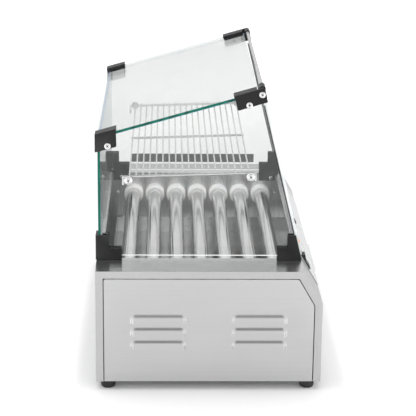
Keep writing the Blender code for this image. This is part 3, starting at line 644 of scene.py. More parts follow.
def wire(shape, points, radius, sides, bend=0.0):
    """A round wire along (x, depth, z) points, with bends and domed ends."""
    path = wire_path(points, bend)
    last = len(path) - 1
    # (shift along the wire, size), both as shares of the radius
    domes = {0: [(-0.9, 0.35), (-0.6, 0.8), (0.0, 1.0)],
             last: [(0.0, 1.0), (0.6, 0.8), (0.9, 0.35)]}
    rings = []
    side = None
    for i, place in enumerate(path):
        tangent = (path[min(i + 1, last)] - path[max(i - 1, 0)]).normalized()
        if side is None:
            side = tangent.orthogonal().normalized()
        side = (side - tangent * side.dot(tangent)).normalized()
        upward = tangent.cross(side)
        for shift, size in domes.get(i, [(0.0, 1.0)]):
            centre = place + tangent * (shift * radius * MM)
            ring = []
            for k in range(sides):
                angle = 2 * math.pi * k / sides
                spoke = side * math.cos(angle) + upward * math.sin(angle)
                ring.append(shape.verts.new(centre + spoke * (radius * size * MM)))
            rings.append(ring)
    skin(shape, rings)


def rectangle(start, end, first_z, last_z):
    return [(start, first_z), (end, first_z), (end, last_z), (start, last_z)]


def inset(path, distance):
    """The open path moved to its right-hand side."""
    lines = []
    for (depth0, z0), (depth1, z1) in zip(path, path[1:]):
        run, rise = depth1 - depth0, z1 - z0
        size = math.hypot(run, rise)
        shift, lift = rise / size * distance, -run / size * distance
        lines.append(((depth0 + shift, z0 + lift), (depth1 + shift, z1 + lift)))
    moved = [lines[0][0]]
    for (start, end), (start2, end2) in zip(lines, lines[1:]):
        first = (end[0] - start[0], end[1] - start[1])
        second = (end2[0] - start2[0], end2[1] - start2[1])
        gap = (start2[0] - start[0], start2[1] - start[1])
        t = (gap[0] * second[1] - gap[1] * second[0]) / (
            first[0] * second[1] - first[1] * second[0])
        moved.append((start[0] + t * first[0], start[1] + t * first[1]))
    moved.append(lines[-1][1])
    return moved


def rounded(outline, radius, steps=3, skip=()):
    """The closed outline with its corners rounded, but for the skipped ones."""
    points = []
    for i, here in enumerate(outline):
        if i in skip:
            points.append(here)
            continue
        corner = Vector(here)
        before, after = Vector(outline[i - 1]), Vector(outline[(i + 1) % len(outline)])
        to_before, to_after = (before - corner).normalized(), (after - corner).normalized()
        half = to_before.angle(to_after) / 2
        back = min(radius / math.tan(half), (before - corner).length * 0.45,
                   (after - corner).length * 0.45)
        start, end = corner + to_before * back, corner + to_after * back
        points += [(place.x, place.y) for place in bend_points(start, corner, end, steps)]
    return points


# --------------------------------------------------------------------------
# Phillips screws


@functools.cache
def screw_template(radius, height):
    """A domed head with a tapered cross recess, standing on z = 0."""
    profile = [(0.0, 0), (0.0, radius), (0.3 * height, radius)]
    for degrees in (15, 30, 45, 60, 75):
        angle = math.radians(degrees)
        profile.append((0.3 * height + 0.7 * height * math.sin(angle),
                        radius * math.cos(angle) ** 0.8))
    profile.append((height, 0))
    shape = lathe(profile, 40, Matrix.Identity(4), closed=False)
    head = make("screw_template", shape, M_SCREW)
    cutters = []
    for turn in (0, 90):
        shape = bmesh.new()
        bmesh.ops.create_cube(shape, size=1.0)
        for vert in shape.verts:
            deep = vert.co.z < 0
            vert.co.x *= radius * (0.62 if deep else 1.16) * MM
            vert.co.y *= radius * (0.16 if deep else 0.26) * MM
            vert.co.z = (height * 0.28 if deep else height * 1.4) * MM
        bmesh.ops.rotate(shape, verts=shape.verts, cent=(0, 0, 0),
                         matrix=Matrix.Rotation(math.radians(turn), 3, "Z"))
        cutters.append(make("cutter", shape, M_SCREW))
    boolean(head, cutters, "DIFFERENCE")
    mesh = head.data
    # The cross recess's walls and floor take the near-black recess material, which is painted
    # shade.
    set_material(mesh, M_SCREW, M_RECESS_SHADE)
    for face in mesh.polygons:
        centre = face.center / MM
        in_cross = (min(abs(centre.x), abs(centre.y)) < radius * 0.2
                    and centre.xy.length < radius * 0.6)
        wall_or_floor = abs(face.normal.z) < 0.8 or centre.z < 0.5 * height
        face.material_index = int(in_cross and wall_or_floor and centre.z > 0.2 * height)
    bpy.data.objects.remove(head, do_unlink=True)
    return mesh


def screws(name, sign, rows):
    """Rows are (x, depth, z, facing, radius, height, turn in degrees).

    x is measured towards the end that sign names; facing is 1 outwards, -1 inwards."""
    shape = bmesh.new()
    for x, depth, z, facing, radius, height, turn in rows:
        piece = bmesh.new()
        piece.from_mesh(screw_template(radius, height))
        matrix = along_x(sign * x, depth, z, sign * facing)
        matrix = matrix @ Matrix.Rotation(math.radians(turn), 4, "Z")
        bmesh.ops.transform(piece, matrix=matrix, verts=piece.verts)
        mesh = bpy.data.meshes.new("t")
        piece.to_mesh(mesh)
        piece.free()
        shape.from_mesh(mesh)
        bpy.data.meshes.remove(mesh)
    seat(make(name, shape, [M_SCREW, M_RECESS_SHADE], 28), "cabinet", "shelf_wire")


# --------------------------------------------------------------------------
# Cabinet shell and its louvred end panels


def shell_pick(face):
    """0 body, 1 deck, 2 end flanges, 3 sloping front."""
    normal = face.normal
    if abs(normal.x) > 0.9:
        return 2
    if normal.z > 0.9 and face.calc_center_median().z > 0.178:
        return 1
    if normal.y < -0.3 and normal.z > 0.2:
        return 3
    return 0


PROFILE = [(0.0, BASE_Z), (0.0, DECK_Z), SLOPE_TOP, SLOPE_FOOT, (SLOPE_FOOT[0], BASE_Z)]
PANEL_X = 289.0
PANEL_MARGIN = 12.0
SHEET = 1.2
LOUVRE_DEPTHS = ((49.0, 129.2), (193.4, 273.0))
LOUVRE_TOPS = (116.2, 96.7, 77.2)
LOUVRE_HEIGHT = 13.8
LOUVRE_OUT = 3.8
LOUVRE_CORNER = 8.5
LOUVRE_RAMP = 4.6               # distance over which the pressing rises
LOUVRE_SKIN = 0.9
LOUVRES = [(start, end, top) for start, end in LOUVRE_DEPTHS for top in LOUVRE_TOPS]
# Opening for the power inlet
INLET_DEPTH, INLET_Z = 66, 43
INLET_HALF_WIDTH, INLET_HALF_HEIGHT = 14.4, 10.4


def louvre_out(along, down, length):
    """How far the pressing stands out, at `along` its length and `down` its height."""
    edge, down = min(along, length - along), down * LOUVRE_RAMP / 5.0
    if edge < LOUVRE_CORNER and down < LOUVRE_CORNER:
        inward = LOUVRE_CORNER - math.hypot(LOUVRE_CORNER - edge, LOUVRE_CORNER - down)
    else:
        inward = min(edge, down)
    t = max(0.0, min(1.0, max(inward, 0) / LOUVRE_RAMP))
    return LOUVRE_OUT * (t * t * (3 - 2 * t))


def flat_sheet(name, outlines, middle):
    """A sheet standing at x = middle; outlines after the first are holes."""
    curve = bpy.data.curves.new(name, "CURVE")
    curve.dimensions = "2D"
    curve.fill_mode = "BOTH"
    curve.extrude = SHEET / 2 * MM
    for outline in outlines:
        spline = curve.splines.new("POLY")
        spline.points.add(len(outline) - 1)
        for target, (depth, z) in zip(spline.points, outline):
            target.co = ((REAR_Y - depth) * MM, z * MM, 0, 1)
        spline.use_cyclic_u = True
    guide = bpy.data.objects.new(name + "_guide", curve)
    bpy.context.scene.collection.objects.link(guide)
    bpy.context.view_layer.update()
    graph = bpy.context.evaluated_depsgraph_get()
    mesh = bpy.data.meshes.new_from_object(guide.evaluated_get(graph))
    bpy.data.objects.remove(guide, do_unlink=True)
    shape = bmesh.new()
    shape.from_mesh(mesh)
    bmesh.ops.remove_doubles(shape, verts=shape.verts, dist=1e-6)
    for vert in shape.verts:
        y, z, x = vert.co
        vert.co = Vector((middle * MM + x, y, z))
    bmesh.ops.recalc_face_normals(shape, faces=shape.faces)
    return shape


def by_louvre(vert):
    depth = REAR_Y - vert.co.y / MM
    return 60 < vert.co.z / MM < 118 and any(
        start - 1 < depth < end + 1 for start, end in LOUVRE_DEPTHS)


def round_sheet(shape, face_x):
    """Rounds the edges of the outer face, but not those of the louvre openings."""
    rim = [
        edge for edge in shape.edges
        if len(edge.link_faces) == 2 and edge.calc_face_angle(0) > 1.0
        and abs(edge.verts[0].co.x - edge.verts[1].co.x) < 1e-6
        and abs(edge.verts[0].co.x - face_x * MM) < 1e-6
        and not any(by_louvre(vert) for vert in edge.verts)
    ]
    bmesh.ops.bevel(shape, geom=rim, offset=0.7 * MM, segments=3, profile=0.5,
                    affect="EDGES", clamp_overlap=True)


def add_louvre(shape, sign, start, end, top):
    """A pressed skin over one opening, rising from its top edge and open below."""
    columns, rows = 66, 16
    length = end - start
    layers = []
    for skin_depth in (0.0, LOUVRE_SKIN):
        grid = []
        for j in range(rows + 1):
            down = LOUVRE_HEIGHT * j / rows
            row = []
            for i in range(columns + 1):
                along = length * i / columns
                out = louvre_out(along, down, length) - skin_depth
                place = point(sign * PANEL_X + sign * out, start + along, top - down)
                row.append(shape.verts.new(place))
            grid.append(row)
        layers.append(grid)
    made = []
    for grid in layers:
        for j in range(rows):
            for i in range(columns):
                made.append(shape.faces.new(
                    (grid[j][i], grid[j][i + 1], grid[j + 1][i + 1], grid[j + 1][i])))
    outer, inner = layers
    border = [(0, i) for i in range(columns)] + [(j, columns) for j in range(rows)]
    border += [(rows, i) for i in range(columns, 0, -1)] + [(j, 0) for j in range(rows, 0, -1)]
    for (j, i), (j2, i2) in zip(border, border[1:] + border[:1]):
        made.append(shape.faces.new((outer[j][i], outer[j2][i2], inner[j2][i2], inner[j][i])))
    bmesh.ops.recalc_face_normals(shape, faces=made)


def louvred_panel(side, sign, holes=()):
    name = f"louvred_panel_{side}"
    face_x = sign * PANEL_X
    outline = rounded(inset(PROFILE, PANEL_MARGIN), 3.0, 5, skip=(0, 4))
    openings = [rectangle(start, end, top, top - LOUVRE_HEIGHT) for start, end, top in LOUVRES]
    shape = flat_sheet(name, [outline, *openings, *holes], face_x - sign * SHEET / 2)
    round_sheet(shape, face_x)
    for louvre in LOUVRES:
        add_louvre(shape, sign, *louvre)
    seat(make(name, shape, M_PANEL, 38), "cabinet", "cabinet_steel", f"{side}_end_panel")


refined("outer_shell", "cabinet", "cabinet_steel", [M_SHELL, M_DECK, M_FLANGE, M_SLOPE],
        width=0.42, segments=3, pick=shell_pick, name="cabinet_shell")
louvred_panel("left", -1)
louvred_panel("right", 1, [rectangle(
    INLET_DEPTH - INLET_HALF_WIDTH, INLET_DEPTH + INLET_HALF_WIDTH,
    INLET_Z + INLET_HALF_HEIGHT, INLET_Z - INLET_HALF_HEIGHT)])

# node, body, slot, material, edge width, edge segments
for row in (
    ("bottom_plate", "cabinet", "zinc_steel", M_ZINC, 0.25, 2),
    ("control_panel", "cabinet", "panel_overlay", M_FILM, 0.25, 3),
    ("switch_housing", "cabinet", "black_plastic", M_SWITCH, 0.45, 3),
    ("switch_rocker", "rocker", "black_plastic", M_SWITCH, 0.7, 4),
    ("left_bearing_plate", "cabinet", "inner_steel", M_INNER, 0.0, 2),
    ("right_bearing_plate", "cabinet", "inner_steel", M_INNER, 0.0, 2),
    ("power_inlet", "cabinet", "black_plastic", M_SWITCH, 0.4, 2),
    ("drip_tray", "tray", "cabinet_steel", M_TRAY, 0.35, 3),
):
    refined(*row)

# --------------------------------------------------------------------------
# Sloping panel: the lamp and the small round cap
SLOPE_RUN, SLOPE_DROP = SLOPE_TOP[0] - SLOPE_FOOT[0], SLOPE_TOP[1] - SLOPE_FOOT[1]
SLOPE_LENGTH = math.hypot(SLOPE_RUN, SLOPE_DROP)
UP_SLOPE = (SLOPE_RUN / SLOPE_LENGTH, SLOPE_DROP / SLOPE_LENGTH)


def slope_matrix(x, down):
    """A frame at `down` the slope from its top edge, local Z pointing out of it."""
    place = point(x, SLOPE_TOP[0] - UP_SLOPE[0] * down, SLOPE_TOP[1] - UP_SLOPE[1] * down)
    outward = Vector((0, -UP_SLOPE[1], -UP_SLOPE[0]))
    turn = Vector((0, 0, 1)).rotation_difference(outward).to_matrix().to_4x4()
    return Matrix.Translation(place) @ turn


def lamp_lens():
    dome_base, dome_top, radius = 1.4, 2.9, 4.3
    profile = [(-11, 0), (-11, 3.0), (dome_base, 3.0), (dome_base, radius)]
    for degrees in (15, 35, 55, 75):
        angle = math.radians(degrees)
        profile.append((dome_base + (dome_top - dome_base) * math.sin(angle),
                        radius * math.cos(angle) ** 0.75))
    profile.append((dome_top, 0))
    shape = lathe(profile, 40, slope_matrix(x=-128.0, down=7.0), closed=False)
    seat(make("lamp_lens", shape, M_AMBER), "cabinet", "amber_lens", "indicator_lamp")


# (distance out of the slope, radius)
CAP_PROFILE = [
    (-4.0, 0), (-4.0, 2.9), (1.4, 2.9), (1.4, 6.2), (1.9, 6.3), (2.4, 5.7),
    (2.7, 4.6), (2.7, 3.9), (2.2, 3.6), (2.2, 0),
]

lamp_lens()
cap = lathe(CAP_PROFILE, 40, slope_matrix(x=-12.0, down=12.5), closed=False)
seat(make("cap_disc", cap, M_SWITCH), "cabinet", "black_plastic", "round_cap")

# --------------------------------------------------------------------------
# Rollers, seals, collars, heaters, drive
ROLLER_HALF, ROLLER_RADIUS, ROLLER_BORE, ROLLER_CHAMFER = 262.0, 11.4, 10.2, 0.25
COLLAR_X = 230.8
COLLAR_BAR_X = (-236.3, -232.6)


def roller_profile():
    edge = ROLLER_HALF - ROLLER_CHAMFER
    shoulder = ROLLER_RADIUS - ROLLER_CHAMFER
    profile = [(ROLLER_HALF, ROLLER_BORE), (ROLLER_HALF, shoulder), (edge, ROLLER_RADIUS)]
    profile += [(ROLLER_HALF - 2 * ROLLER_HALF * k / 24, ROLLER_RADIUS) for k in range(1, 24)]
    profile += [(-edge, ROLLER_RADIUS), (-ROLLER_HALF, shoulder), (-ROLLER_HALF, ROLLER_BORE)]
    return profile


def collar_profile(sign):
    """A ring with a rounded shoulder that faces the middle of the machine."""
    length, shoulder, rounding = 18.0, 13.6, 2.6
    profile = [(-length, 11.7), (-length, shoulder)]
    for degrees in (15, 30, 45, 60, 75, 90):
        angle = math.radians(degrees)
        profile.append((-length + rounding - rounding * math.cos(angle),
                        shoulder + rounding * math.sin(angle)))
    profile += [(-0.7, 16.2), (-0.3, 15.9), (-0.3, 12.9), (3.5, 12.9), (3.5, 11.7)]
    return [(sign * distance, radius) for distance, radius in profile]


def rollers():
    for i, depth in enumerate(ROLLER_DEPTHS, 1):
        body = f"roller_body_{i}"
        shape = lathe(roller_profile(), 72, along_x(0, depth, ROLLER_Z))
        seat(make(f"roller_tube_{i}", shape, M_ROLLER), body, "roller_steel", f"roller_{i}")
        shape = lathe(collar_profile(1), 56, along_x(COLLAR_X, depth, ROLLER_Z))
        seat(make(f"seal_ring_{i}", shape, M_PTFE), "cabinet", "white_ptfe",
             f"roller_seal_{i}")
        refined(f"roller_sprocket_{i}", body, "zinc_steel", [M_ZINC], width=0.25)


def left_collars():
    """The left collars, joined to a pierced bar."""
    shape = bmesh.new()
    for depth in ROLLER_DEPTHS:
        lathe(collar_profile(-1), 56, along_x(-COLLAR_X, depth, ROLLER_Z), shape=shape)
    collars = make("collar_strip", shape, M_PTFE)
    outline = rounded(rectangle(26.0, 280.0, 130.0, 160.2), 4.0, 6)
    bar = prism("collar_bar", outline, COLLAR_BAR_X, M_PTFE)
    hole_profile = [(-3, 0), (-3, 12.4), (10, 12.4), (10, 0)]
    holes = []
    for depth in ROLLER_DEPTHS:
        shape = lathe(hole_profile, 48, along_x(-240, depth, ROLLER_Z), closed=False)
        holes.append(make("hole", shape, M_PTFE))
    boolean(bar, holes, "DIFFERENCE")
    round_edges(bar, 0.35)
    shape = bmesh.new()
    for part in (collars, bar):
        shape.from_mesh(part.data)
        bpy.data.objects.remove(part, do_unlink=True)
    seat(make("left_collar_strip", shape, M_PTFE), "cabinet", "white_ptfe",
         "left_bearing_strip")


CHAIN_X = 248.0
CHAIN_WRAP = 17.3               # radius of the chain's line round each centre
CHAIN_PITCH = 7.9
CHAIN_CENTRES = [(ROLLER_START, ROLLER_Z), (153.0, 50.0), (ROLLER_DEPTHS[-1], ROLLER_Z)]
CHAIN_PIN = [(-3.6, 0), (-3.6, 1.0), (3.6, 1.0), (3.6, 0)]
PLATE_END = 2.1
OUTER_PLATE_X, INNER_PLATE_X = (2.6, 3.3), (1.7, 2.4)


def chain_line():
    """The closed line round the three centres, as 2D vectors."""
    line = []
    for k, here in enumerate(CHAIN_CENTRES):
        before, after = CHAIN_CENTRES[k - 1], CHAIN_CENTRES[(k + 1) % 3]
        start = math.atan2(here[1] - before[1], here[0] - before[0]) - math.pi / 2
        end = math.atan2(after[1] - here[1], after[0] - here[0]) - math.pi / 2
        while end < start:
            end += 2 * math.pi
        for i in range(25):
            angle = start + (end - start) * i / 24
            line.append(Vector((here[0] + CHAIN_WRAP * math.cos(angle),
                                here[1] + CHAIN_WRAP * math.sin(angle))))
    line.append(line[0])
    return line


def chain_pins():
    """Evenly spaced points on the chain's line, an even number of them."""
    line = chain_line()
    lengths = [0.0]
    for start, end in zip(line, line[1:]):
        lengths.append(lengths[-1] + (end - start).length)
    total = lengths[-1]
    count = int(total / CHAIN_PITCH) // 2 * 2
    pins = []
    k = 0
    for i in range(count):
        distance = total * i / count
        while lengths[k + 1] < distance:
            k += 1
        t = (distance - lengths[k]) / (lengths[k + 1] - lengths[k])
        pins.append(line[k].lerp(line[k + 1], t))
    return pins


def link_outline(start, end):
    """A plate with round ends about two pins."""
    along = (end - start).normalized()
    across = Vector((-along.y, along.x))
    outline = []
    for centre, way in ((start, -1), (end, 1)):
        for i in range(7):
            angle = math.radians(-90 + 180 * i / 6)
            spoke = along * (way * math.cos(angle)) + across * (way * math.sin(angle))
            outline.append(centre + spoke * PLATE_END)
    return outline


def chain():
    """Roller chain: pins with outer and inner link plates by turns."""
    shape = bmesh.new()
    pins = chain_pins()
    for i, (start, end) in enumerate(zip(pins, pins[1:] + pins[:1])):
        lathe(CHAIN_PIN, 10, along_x(CHAIN_X, start.x, start.y), closed=False, shape=shape)
        outline = link_outline(start, end)
        plate_x = OUTER_PLATE_X if i % 2 == 0 else INNER_PLATE_X
        for sign in (-1, 1):
            slab(shape, outline, [CHAIN_X + sign * x for x in plate_x])
    seat(make("roller_chain", shape, M_ZINC, 30), "cabinet", "zinc_steel", "drive_chain")


rollers()
left_collars()
refined("heater_bank", "cabinet", "zinc_steel", [M_ZINC], width=0.0)
refined("gear_motor", "cabinet", "zinc_steel", [M_ZINC], width=0.5)
refined("drive_sprocket", "drive", "zinc_steel", [M_ZINC], width=0.25)
chain()

# --------------------------------------------------------------------------
# Feet: (height, radius), from the top down to the floor and up into the hollow
FOOT_PROFILE = [
    (13.2, 0), (13.2, 10.6), (12.9, 11.2), (12.3, 11.4), (9.0, 11.2), (4.0, 10.6), (1.6, 9.9),
    (0.5, 9.0), (0.0, 7.8), (0.0, 3.4), (2.2, 3.1), (2.2, 0),
]
for name in ("foot_rear_left", "foot_rear_right", "foot_front_left", "foot_front_right"):
    low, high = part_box(name)
    centre = point((low.x + high.x) / 2 / MM, REAR_Y - (low.y + high.y) / 2 / MM, 0)
    foot = lathe(FOOT_PROFILE, 48, Matrix.Translation(centre), closed=False)
    seat(make(name + "_moulded", foot, M_RUBBER), "cabinet", "black_rubber", name)

# --------------------------------------------------------------------------
# Hood glasses. Pane materials: 0 face, 1 green, 2 blue, 3 pale, 4 white edge that glows as a
# painted highlight.


def pane(node, body, main, edge_index, width=0.35, face_mat=M_GLASS_TOP):
    """A pane with rounded edges; main is the normal of its two broad sides."""
    def pick(face):
        return 0 if abs(face.normal.dot(main)) > 0.9 else edge_index(face.normal)

    refined(node, body, "clear_glass", [face_mat, M_GREEN, M_BLUE, M_PALE, M_FOOT_EDGE_HIGHLIGHT],
            width, pick=pick, name=node + "_pane")


def end_edge(normal):
    if normal.z < -0.8:
        return 4
    return 3 if normal.y < -0.5 else 2


def rear_edge(normal):
    if abs(normal.x) > 0.8:
        return 1
    return 4 if normal.z < -0.8 else 2


for side, sign in SIDES:
    pane(f"{side}_end_glass", "cabinet", Vector((1, 0, 0)), end_edge, 0.3, M_GLASS)
pane("rear_glass", "cabinet", Vector((0, 1, 0)), rear_edge)
pane("top_glass", "cabinet", Vector((0, ROOF_RISE, 1)).normalized(),
     lambda normal: 1 if abs(normal.x) > 0.8 else 2)
pane("front_door_glass", "door", Vector((0, -1, DOOR_RUN)).normalized(), lambda normal: 3)


def roof_z(depth, below):
    return ROOF_REAR_Z + ROOF_RISE * depth - below * math.hypot(1, ROOF_RISE)


def under_roof(*points):
    """(depth, z) points from (depth, distance below the roof) ones."""
    return [(depth, roof_z(depth, below)) for depth, below in points]


def door_depth(z, out=0.0):
    """Depth of the door's plane at z, moved out along its normal."""
    return DOOR_FOOT_DEPTH - DOOR_RUN * (z - DECK_Z) + out * math.hypot(1, DOOR_RUN)


def door_band(low, high, inner, outer):
    """A band along the door's plane, from z low to high and between two offsets."""
    return [(door_depth(low, inner), low), (door_depth(low, outer), low),
            (door_depth(high, outer), high), (door_depth(high, inner), high)]


# Soft strips that the door closes on
STRIP_Z = (219.0, 407.0)
for side, sign in SIDES:
    strip = prism(f"{side}_door_strip", door_band(*STRIP_Z, 0.06, 0.7), (230.2, 233.9),
                  M_BLACK, sign)
    lip = prism("lip", door_band(*STRIP_Z, -0.8, 0.7), (233.8, 234.25), M_BLACK, sign)
    boolean(strip, [lip], "UNION")
    round_edges(strip, 0.15)
    seat(strip, "cabinet", "black_rubber")

# A dark grey strip on the right-hand glass: painted shade standing for the dark band seen
# through it.
shade_band = prism("glass_shade_strip", rounded(rectangle(39.8, 250.6, 198.6, 213.4), 0.8),
             (GLASS_X, 234.12), M_STRIP)
seat(shade_band, "cabinet", "black_plastic")

# --------------------------------------------------------------------------
# Hood brackets
CLEARANCE = 0.3
PLATE = 4.0
BRACKET_X = GLASS_X + CLEARANCE
BRACKET_OUTER_X = BRACKET_X + PLATE
LEG_X = (226.0, 229.7)
WEB_X = (227.0, BRACKET_OUTER_X - 1.0)
PAD_X = (228.4, GLASS_INNER_X)
BRACKET_FOOT = 180.8            # z of the underside
WEB_TOP = 185.3
LEG_FOOT = 168.0
OVER_ROOF = -3.3 - CLEARANCE    # strap's top, as a distance below the roof
SCREW_X = BRACKET_OUTER_X - 0.1
REAR_TOP = 216.8
FRONT_TOP = 217.5
# The edges that a lower bracket's plate and leg share
REAR_STEP = [(36.4, 198.0), (18.1, 198.0), (18.1, REAR_TOP)]
FRONT_STEP = [(275.0, FRONT_TOP), (275.0, 198.6), (260.0, 198.6)]

# Rows for screws(), less the end's sign
BRACKET_SCREWS = (
    (SCREW_X, 17.1, 349.0, 1, 4.7, 2.3, 38),
    (SCREW_X, 216.0, 408.7, 1, 4.7, 2.3, 12),
    (SCREW_X, 233.7, 423.6, 1, 4.7, 2.3, 64),
    (228.5, 17.1, 349.0, -1, 3.0, 1.8, 20),
    (228.5, 214.0, 411.0, -1, 3.0, 1.8, 50),
)
WALL_SCREWS = (
    (230.9, 16.0, 145.0, -1, 3.4, 2.2, 10),
    (230.9, 288.0, 144.0, -1, 3.4, 2.2, 35),
    (226.1, 22.5, 174.0, -1, 3.4, 2.2, 70),
    (226.1, 280.5, 173.0, -1, 3.4, 2.2, 22),
)


def bracket(side, sign, where, outline, leg=None, web=None, strap=None, reach=18):
    """A plate outside the end glass, with the parts that reach in past it.

    leg is an outline inside the glass, web the depths of the bar that joins it
    to the plate, and strap an outline that reaches in from the glass."""
    body = prism(f"{side}_bracket_{where}", rounded(outline, 1.2),
                 (BRACKET_X, BRACKET_OUTER_X), M_BLACK, sign)
    pieces = []
    if leg:
        pieces.append(prism("leg", rounded(leg, 1.2), LEG_X, M_BLACK, sign))
        pieces.append(prism("web", rectangle(*web, BRACKET_FOOT, WEB_TOP), WEB_X, M_BLACK, sign))
    if strap:
        pieces.append(prism("strap", strap, (GLASS_X - reach, BRACKET_OUTER_X), M_BLACK, sign))
    boolean(body, pieces, "UNION")
    shape = bmesh.new()
    shape.from_mesh(body.data)
    weld(shape)
    shape.to_mesh(body.data)
    shape.free()
    round_edges(body, 0.55, 3)
    set_material(body.data, M_BLACK)
    seat(body, "cabinet", "black_plastic", f"{side}_{where}_bracket")


def brackets(side, sign):
    bracket(
        side, sign, "lower_rear",
        [(-1.0, BRACKET_FOOT), (36.4, BRACKET_FOOT), *REAR_STEP, (-1.0, REAR_TOP)],
        leg=[(8.3, LEG_FOOT), (36.4, LEG_FOOT), *REAR_STEP, (8.3, REAR_TOP)],
        web=(9.3, 35.4),
        strap=rectangle(-1.0, 2.3, BRACKET_FOOT, REAR_TOP), reach=20,
    )
    bracket(
        side, sign, "lower_front",
        [(260.0, BRACKET_FOOT), (door_depth(BRACKET_FOOT, 2.4), BRACKET_FOOT),
         (door_depth(FRONT_TOP, 2.4), FRONT_TOP), *FRONT_STEP],
        leg=[(260.0, LEG_FOOT), (287.7, LEG_FOOT), (287.7, BRACKET_FOOT),
             (door_depth(BRACKET_FOOT), BRACKET_FOOT), (door_depth(FRONT_TOP), FRONT_TOP),
             *FRONT_STEP],
        web=(261.0, 290.0),
    )
    bracket(
        side, sign, "upper_rear",
        under_roof((-1.0, OVER_ROOF), (29.0, OVER_ROOF), (29.5, 21.5), (-1.0, 21.5)),
        strap=under_roof((-1.0, OVER_ROOF), (29.0, OVER_ROOF), (29.0, -CLEARANCE),
                         (-1.0, -CLEARANCE)),
    )
    bracket(
        side, sign, "upper_front",
        under_roof((194.5, OVER_ROOF), (236.0, OVER_ROOF), (242.0, 17.5), (200.0, 18.0)),
        strap=under_roof((194.5, OVER_ROOF), (226.5, OVER_ROOF), (226.5, -CLEARANCE),
                         (194.5, -CLEARANCE)),
    )


# Pads that clamp the glass from inside: (depth, distance below the roof)
PADS = (
    ("rear", ((8.2, 6.5), (28.0, 6.5), (28.4, 21.0), (8.2, 21.0))),
    ("front", ((196.5, 6.5), (224.5, 6.5), (226.0, 17.5), (199.0, 17.5))),
)

for side, sign in SIDES:
    brackets(side, sign)
    for where, corners in PADS:
        outline = rounded(under_roof(*corners), 1.2)
        pad = prism(f"{side}_{where}_clamp_pad", outline, PAD_X, M_PAD, sign)
        round_edges(pad, 0.3)
        seat(pad, "cabinet", "cabinet_steel")
    screws(f"{side}_bracket_screws", sign, BRACKET_SCREWS)
    screws(f"{side}_wall_screws", sign, WALL_SCREWS)

# --------------------------------------------------------------------------
# Door hinge: rod and shoes
HINGE_Z = 430.0
HINGE_DEPTH = door_depth(HINGE_Z, 2.8)
ROD_HALF, ROD_RADIUS, ROD_CHAMFER = 236.4, 2.4, 0.4
SHOE_X = (206.0, 229.6)
BORE_RADIUS, EYE_RADIUS = 2.45, 4.3
DOOR_TOP = HINGE_Z - 4.2        # z
SHOE_LOW = DOOR_TOP - 9.0


def hinge_rod():
    edge, end_radius = ROD_HALF - ROD_CHAMFER, ROD_RADIUS - ROD_CHAMFER
    profile = [(-ROD_HALF, 0), (-ROD_HALF, end_radius), (-edge, ROD_RADIUS)]
    profile += [(-edge + 2 * edge * k / 10, ROD_RADIUS) for k in range(1, 10)]
    profile += [(edge, ROD_RADIUS), (ROD_HALF, end_radius), (ROD_HALF, 0)]
    shape = lathe(profile, 32, along_x(0, HINGE_DEPTH, HINGE_Z), closed=False)
    seat(make("hinge_rod", shape, M_ROD), "door", "shelf_wire", "door_hinge_rod")


def hinge_shoe(side, sign):
    """A grip slotted over the door glass, with an eye round the rod."""
    start, end = sorted(sign * x for x in SHOE_X)
    axis = along_x(0, HINGE_DEPTH, HINGE_Z)
    eye_profile = [(start, BORE_RADIUS), (start, EYE_RADIUS), (end, EYE_RADIUS),
                   (end, BORE_RADIUS)]
    eye = make("eye", lathe(eye_profile, 40, axis), M_BLACK)
    shoe = prism("grip", door_band(SHOE_LOW, HINGE_Z - 2.6, -0.7, 6.3), (start, end), M_BLACK)
    gap = prism("slot", door_band(SHOE_LOW - 3, DOOR_TOP + 0.3, 0.5, 5.1),
                (start - 2, end + 2), M_BLACK)
    bore_profile = [(start - 3, 0), (start - 3, BORE_RADIUS), (end + 3, BORE_RADIUS),
                    (end + 3, 0)]
    bore = make("bore", lathe(bore_profile, 40, axis, closed=False), M_BLACK)
    boolean(shoe, [gap], "DIFFERENCE")
    boolean(shoe, [eye], "UNION")
    boolean(shoe, [bore], "DIFFERENCE")
    shoe.name = f"{side}_hinge_shoe"
    round_edges(shoe, 0.35)
    set_material(shoe.data, M_BLACK)
    seat(shoe, "door", "black_plastic")


hinge_rod()
for side, sign in SIDES:
    hinge_shoe(side, sign)

# --------------------------------------------------------------------------
# Bun shelf
SHELF_START, SHELF_END = 47.6, 217.6    # depths of the first and last cross wires
SHELF_Z = 302.2                         # z at SHELF_START
SHELF_RISE = 0.0339
SHELF_X = 222.0
CROSS_WIRES = 19
BAR_DEPTHS = (38.4, 227.2)
BAR_DROP = 1.9                          # from the shelf's line to a bar's axis
BAR_LEG = 13.0                          # from the shelf's line to a side bar's foot
STUDS = ((46.0, 297.9), (220.0, 303.6))  # (depth, z)
# (distance along X, radius)
EYE_PROFILE = [(-1.0, 1.9), (-1.0, 3.4), (-0.6, 3.8), (0.6, 3.8), (1.0, 3.4), (1.0, 1.9)]
STUD_PROFILE = [(-2.0, 0), (-2.0, 1.9), (13.4, 1.9), (13.4, 0)]
OUTER_WASHER = [(0.05, 2.6), (0.05, 5.9), (0.35, 6.1), (0.9, 6.1), (1.2, 5.8), (1.2, 2.6)]
INNER_WASHER = [(0.05, 1.9), (0.05, 4.0), (1.6, 4.0), (1.9, 3.7), (1.9, 1.9)]


def on_shelf(x, depth, lift):
    return (x, depth, SHELF_Z + SHELF_RISE * (depth - SHELF_START) + lift)


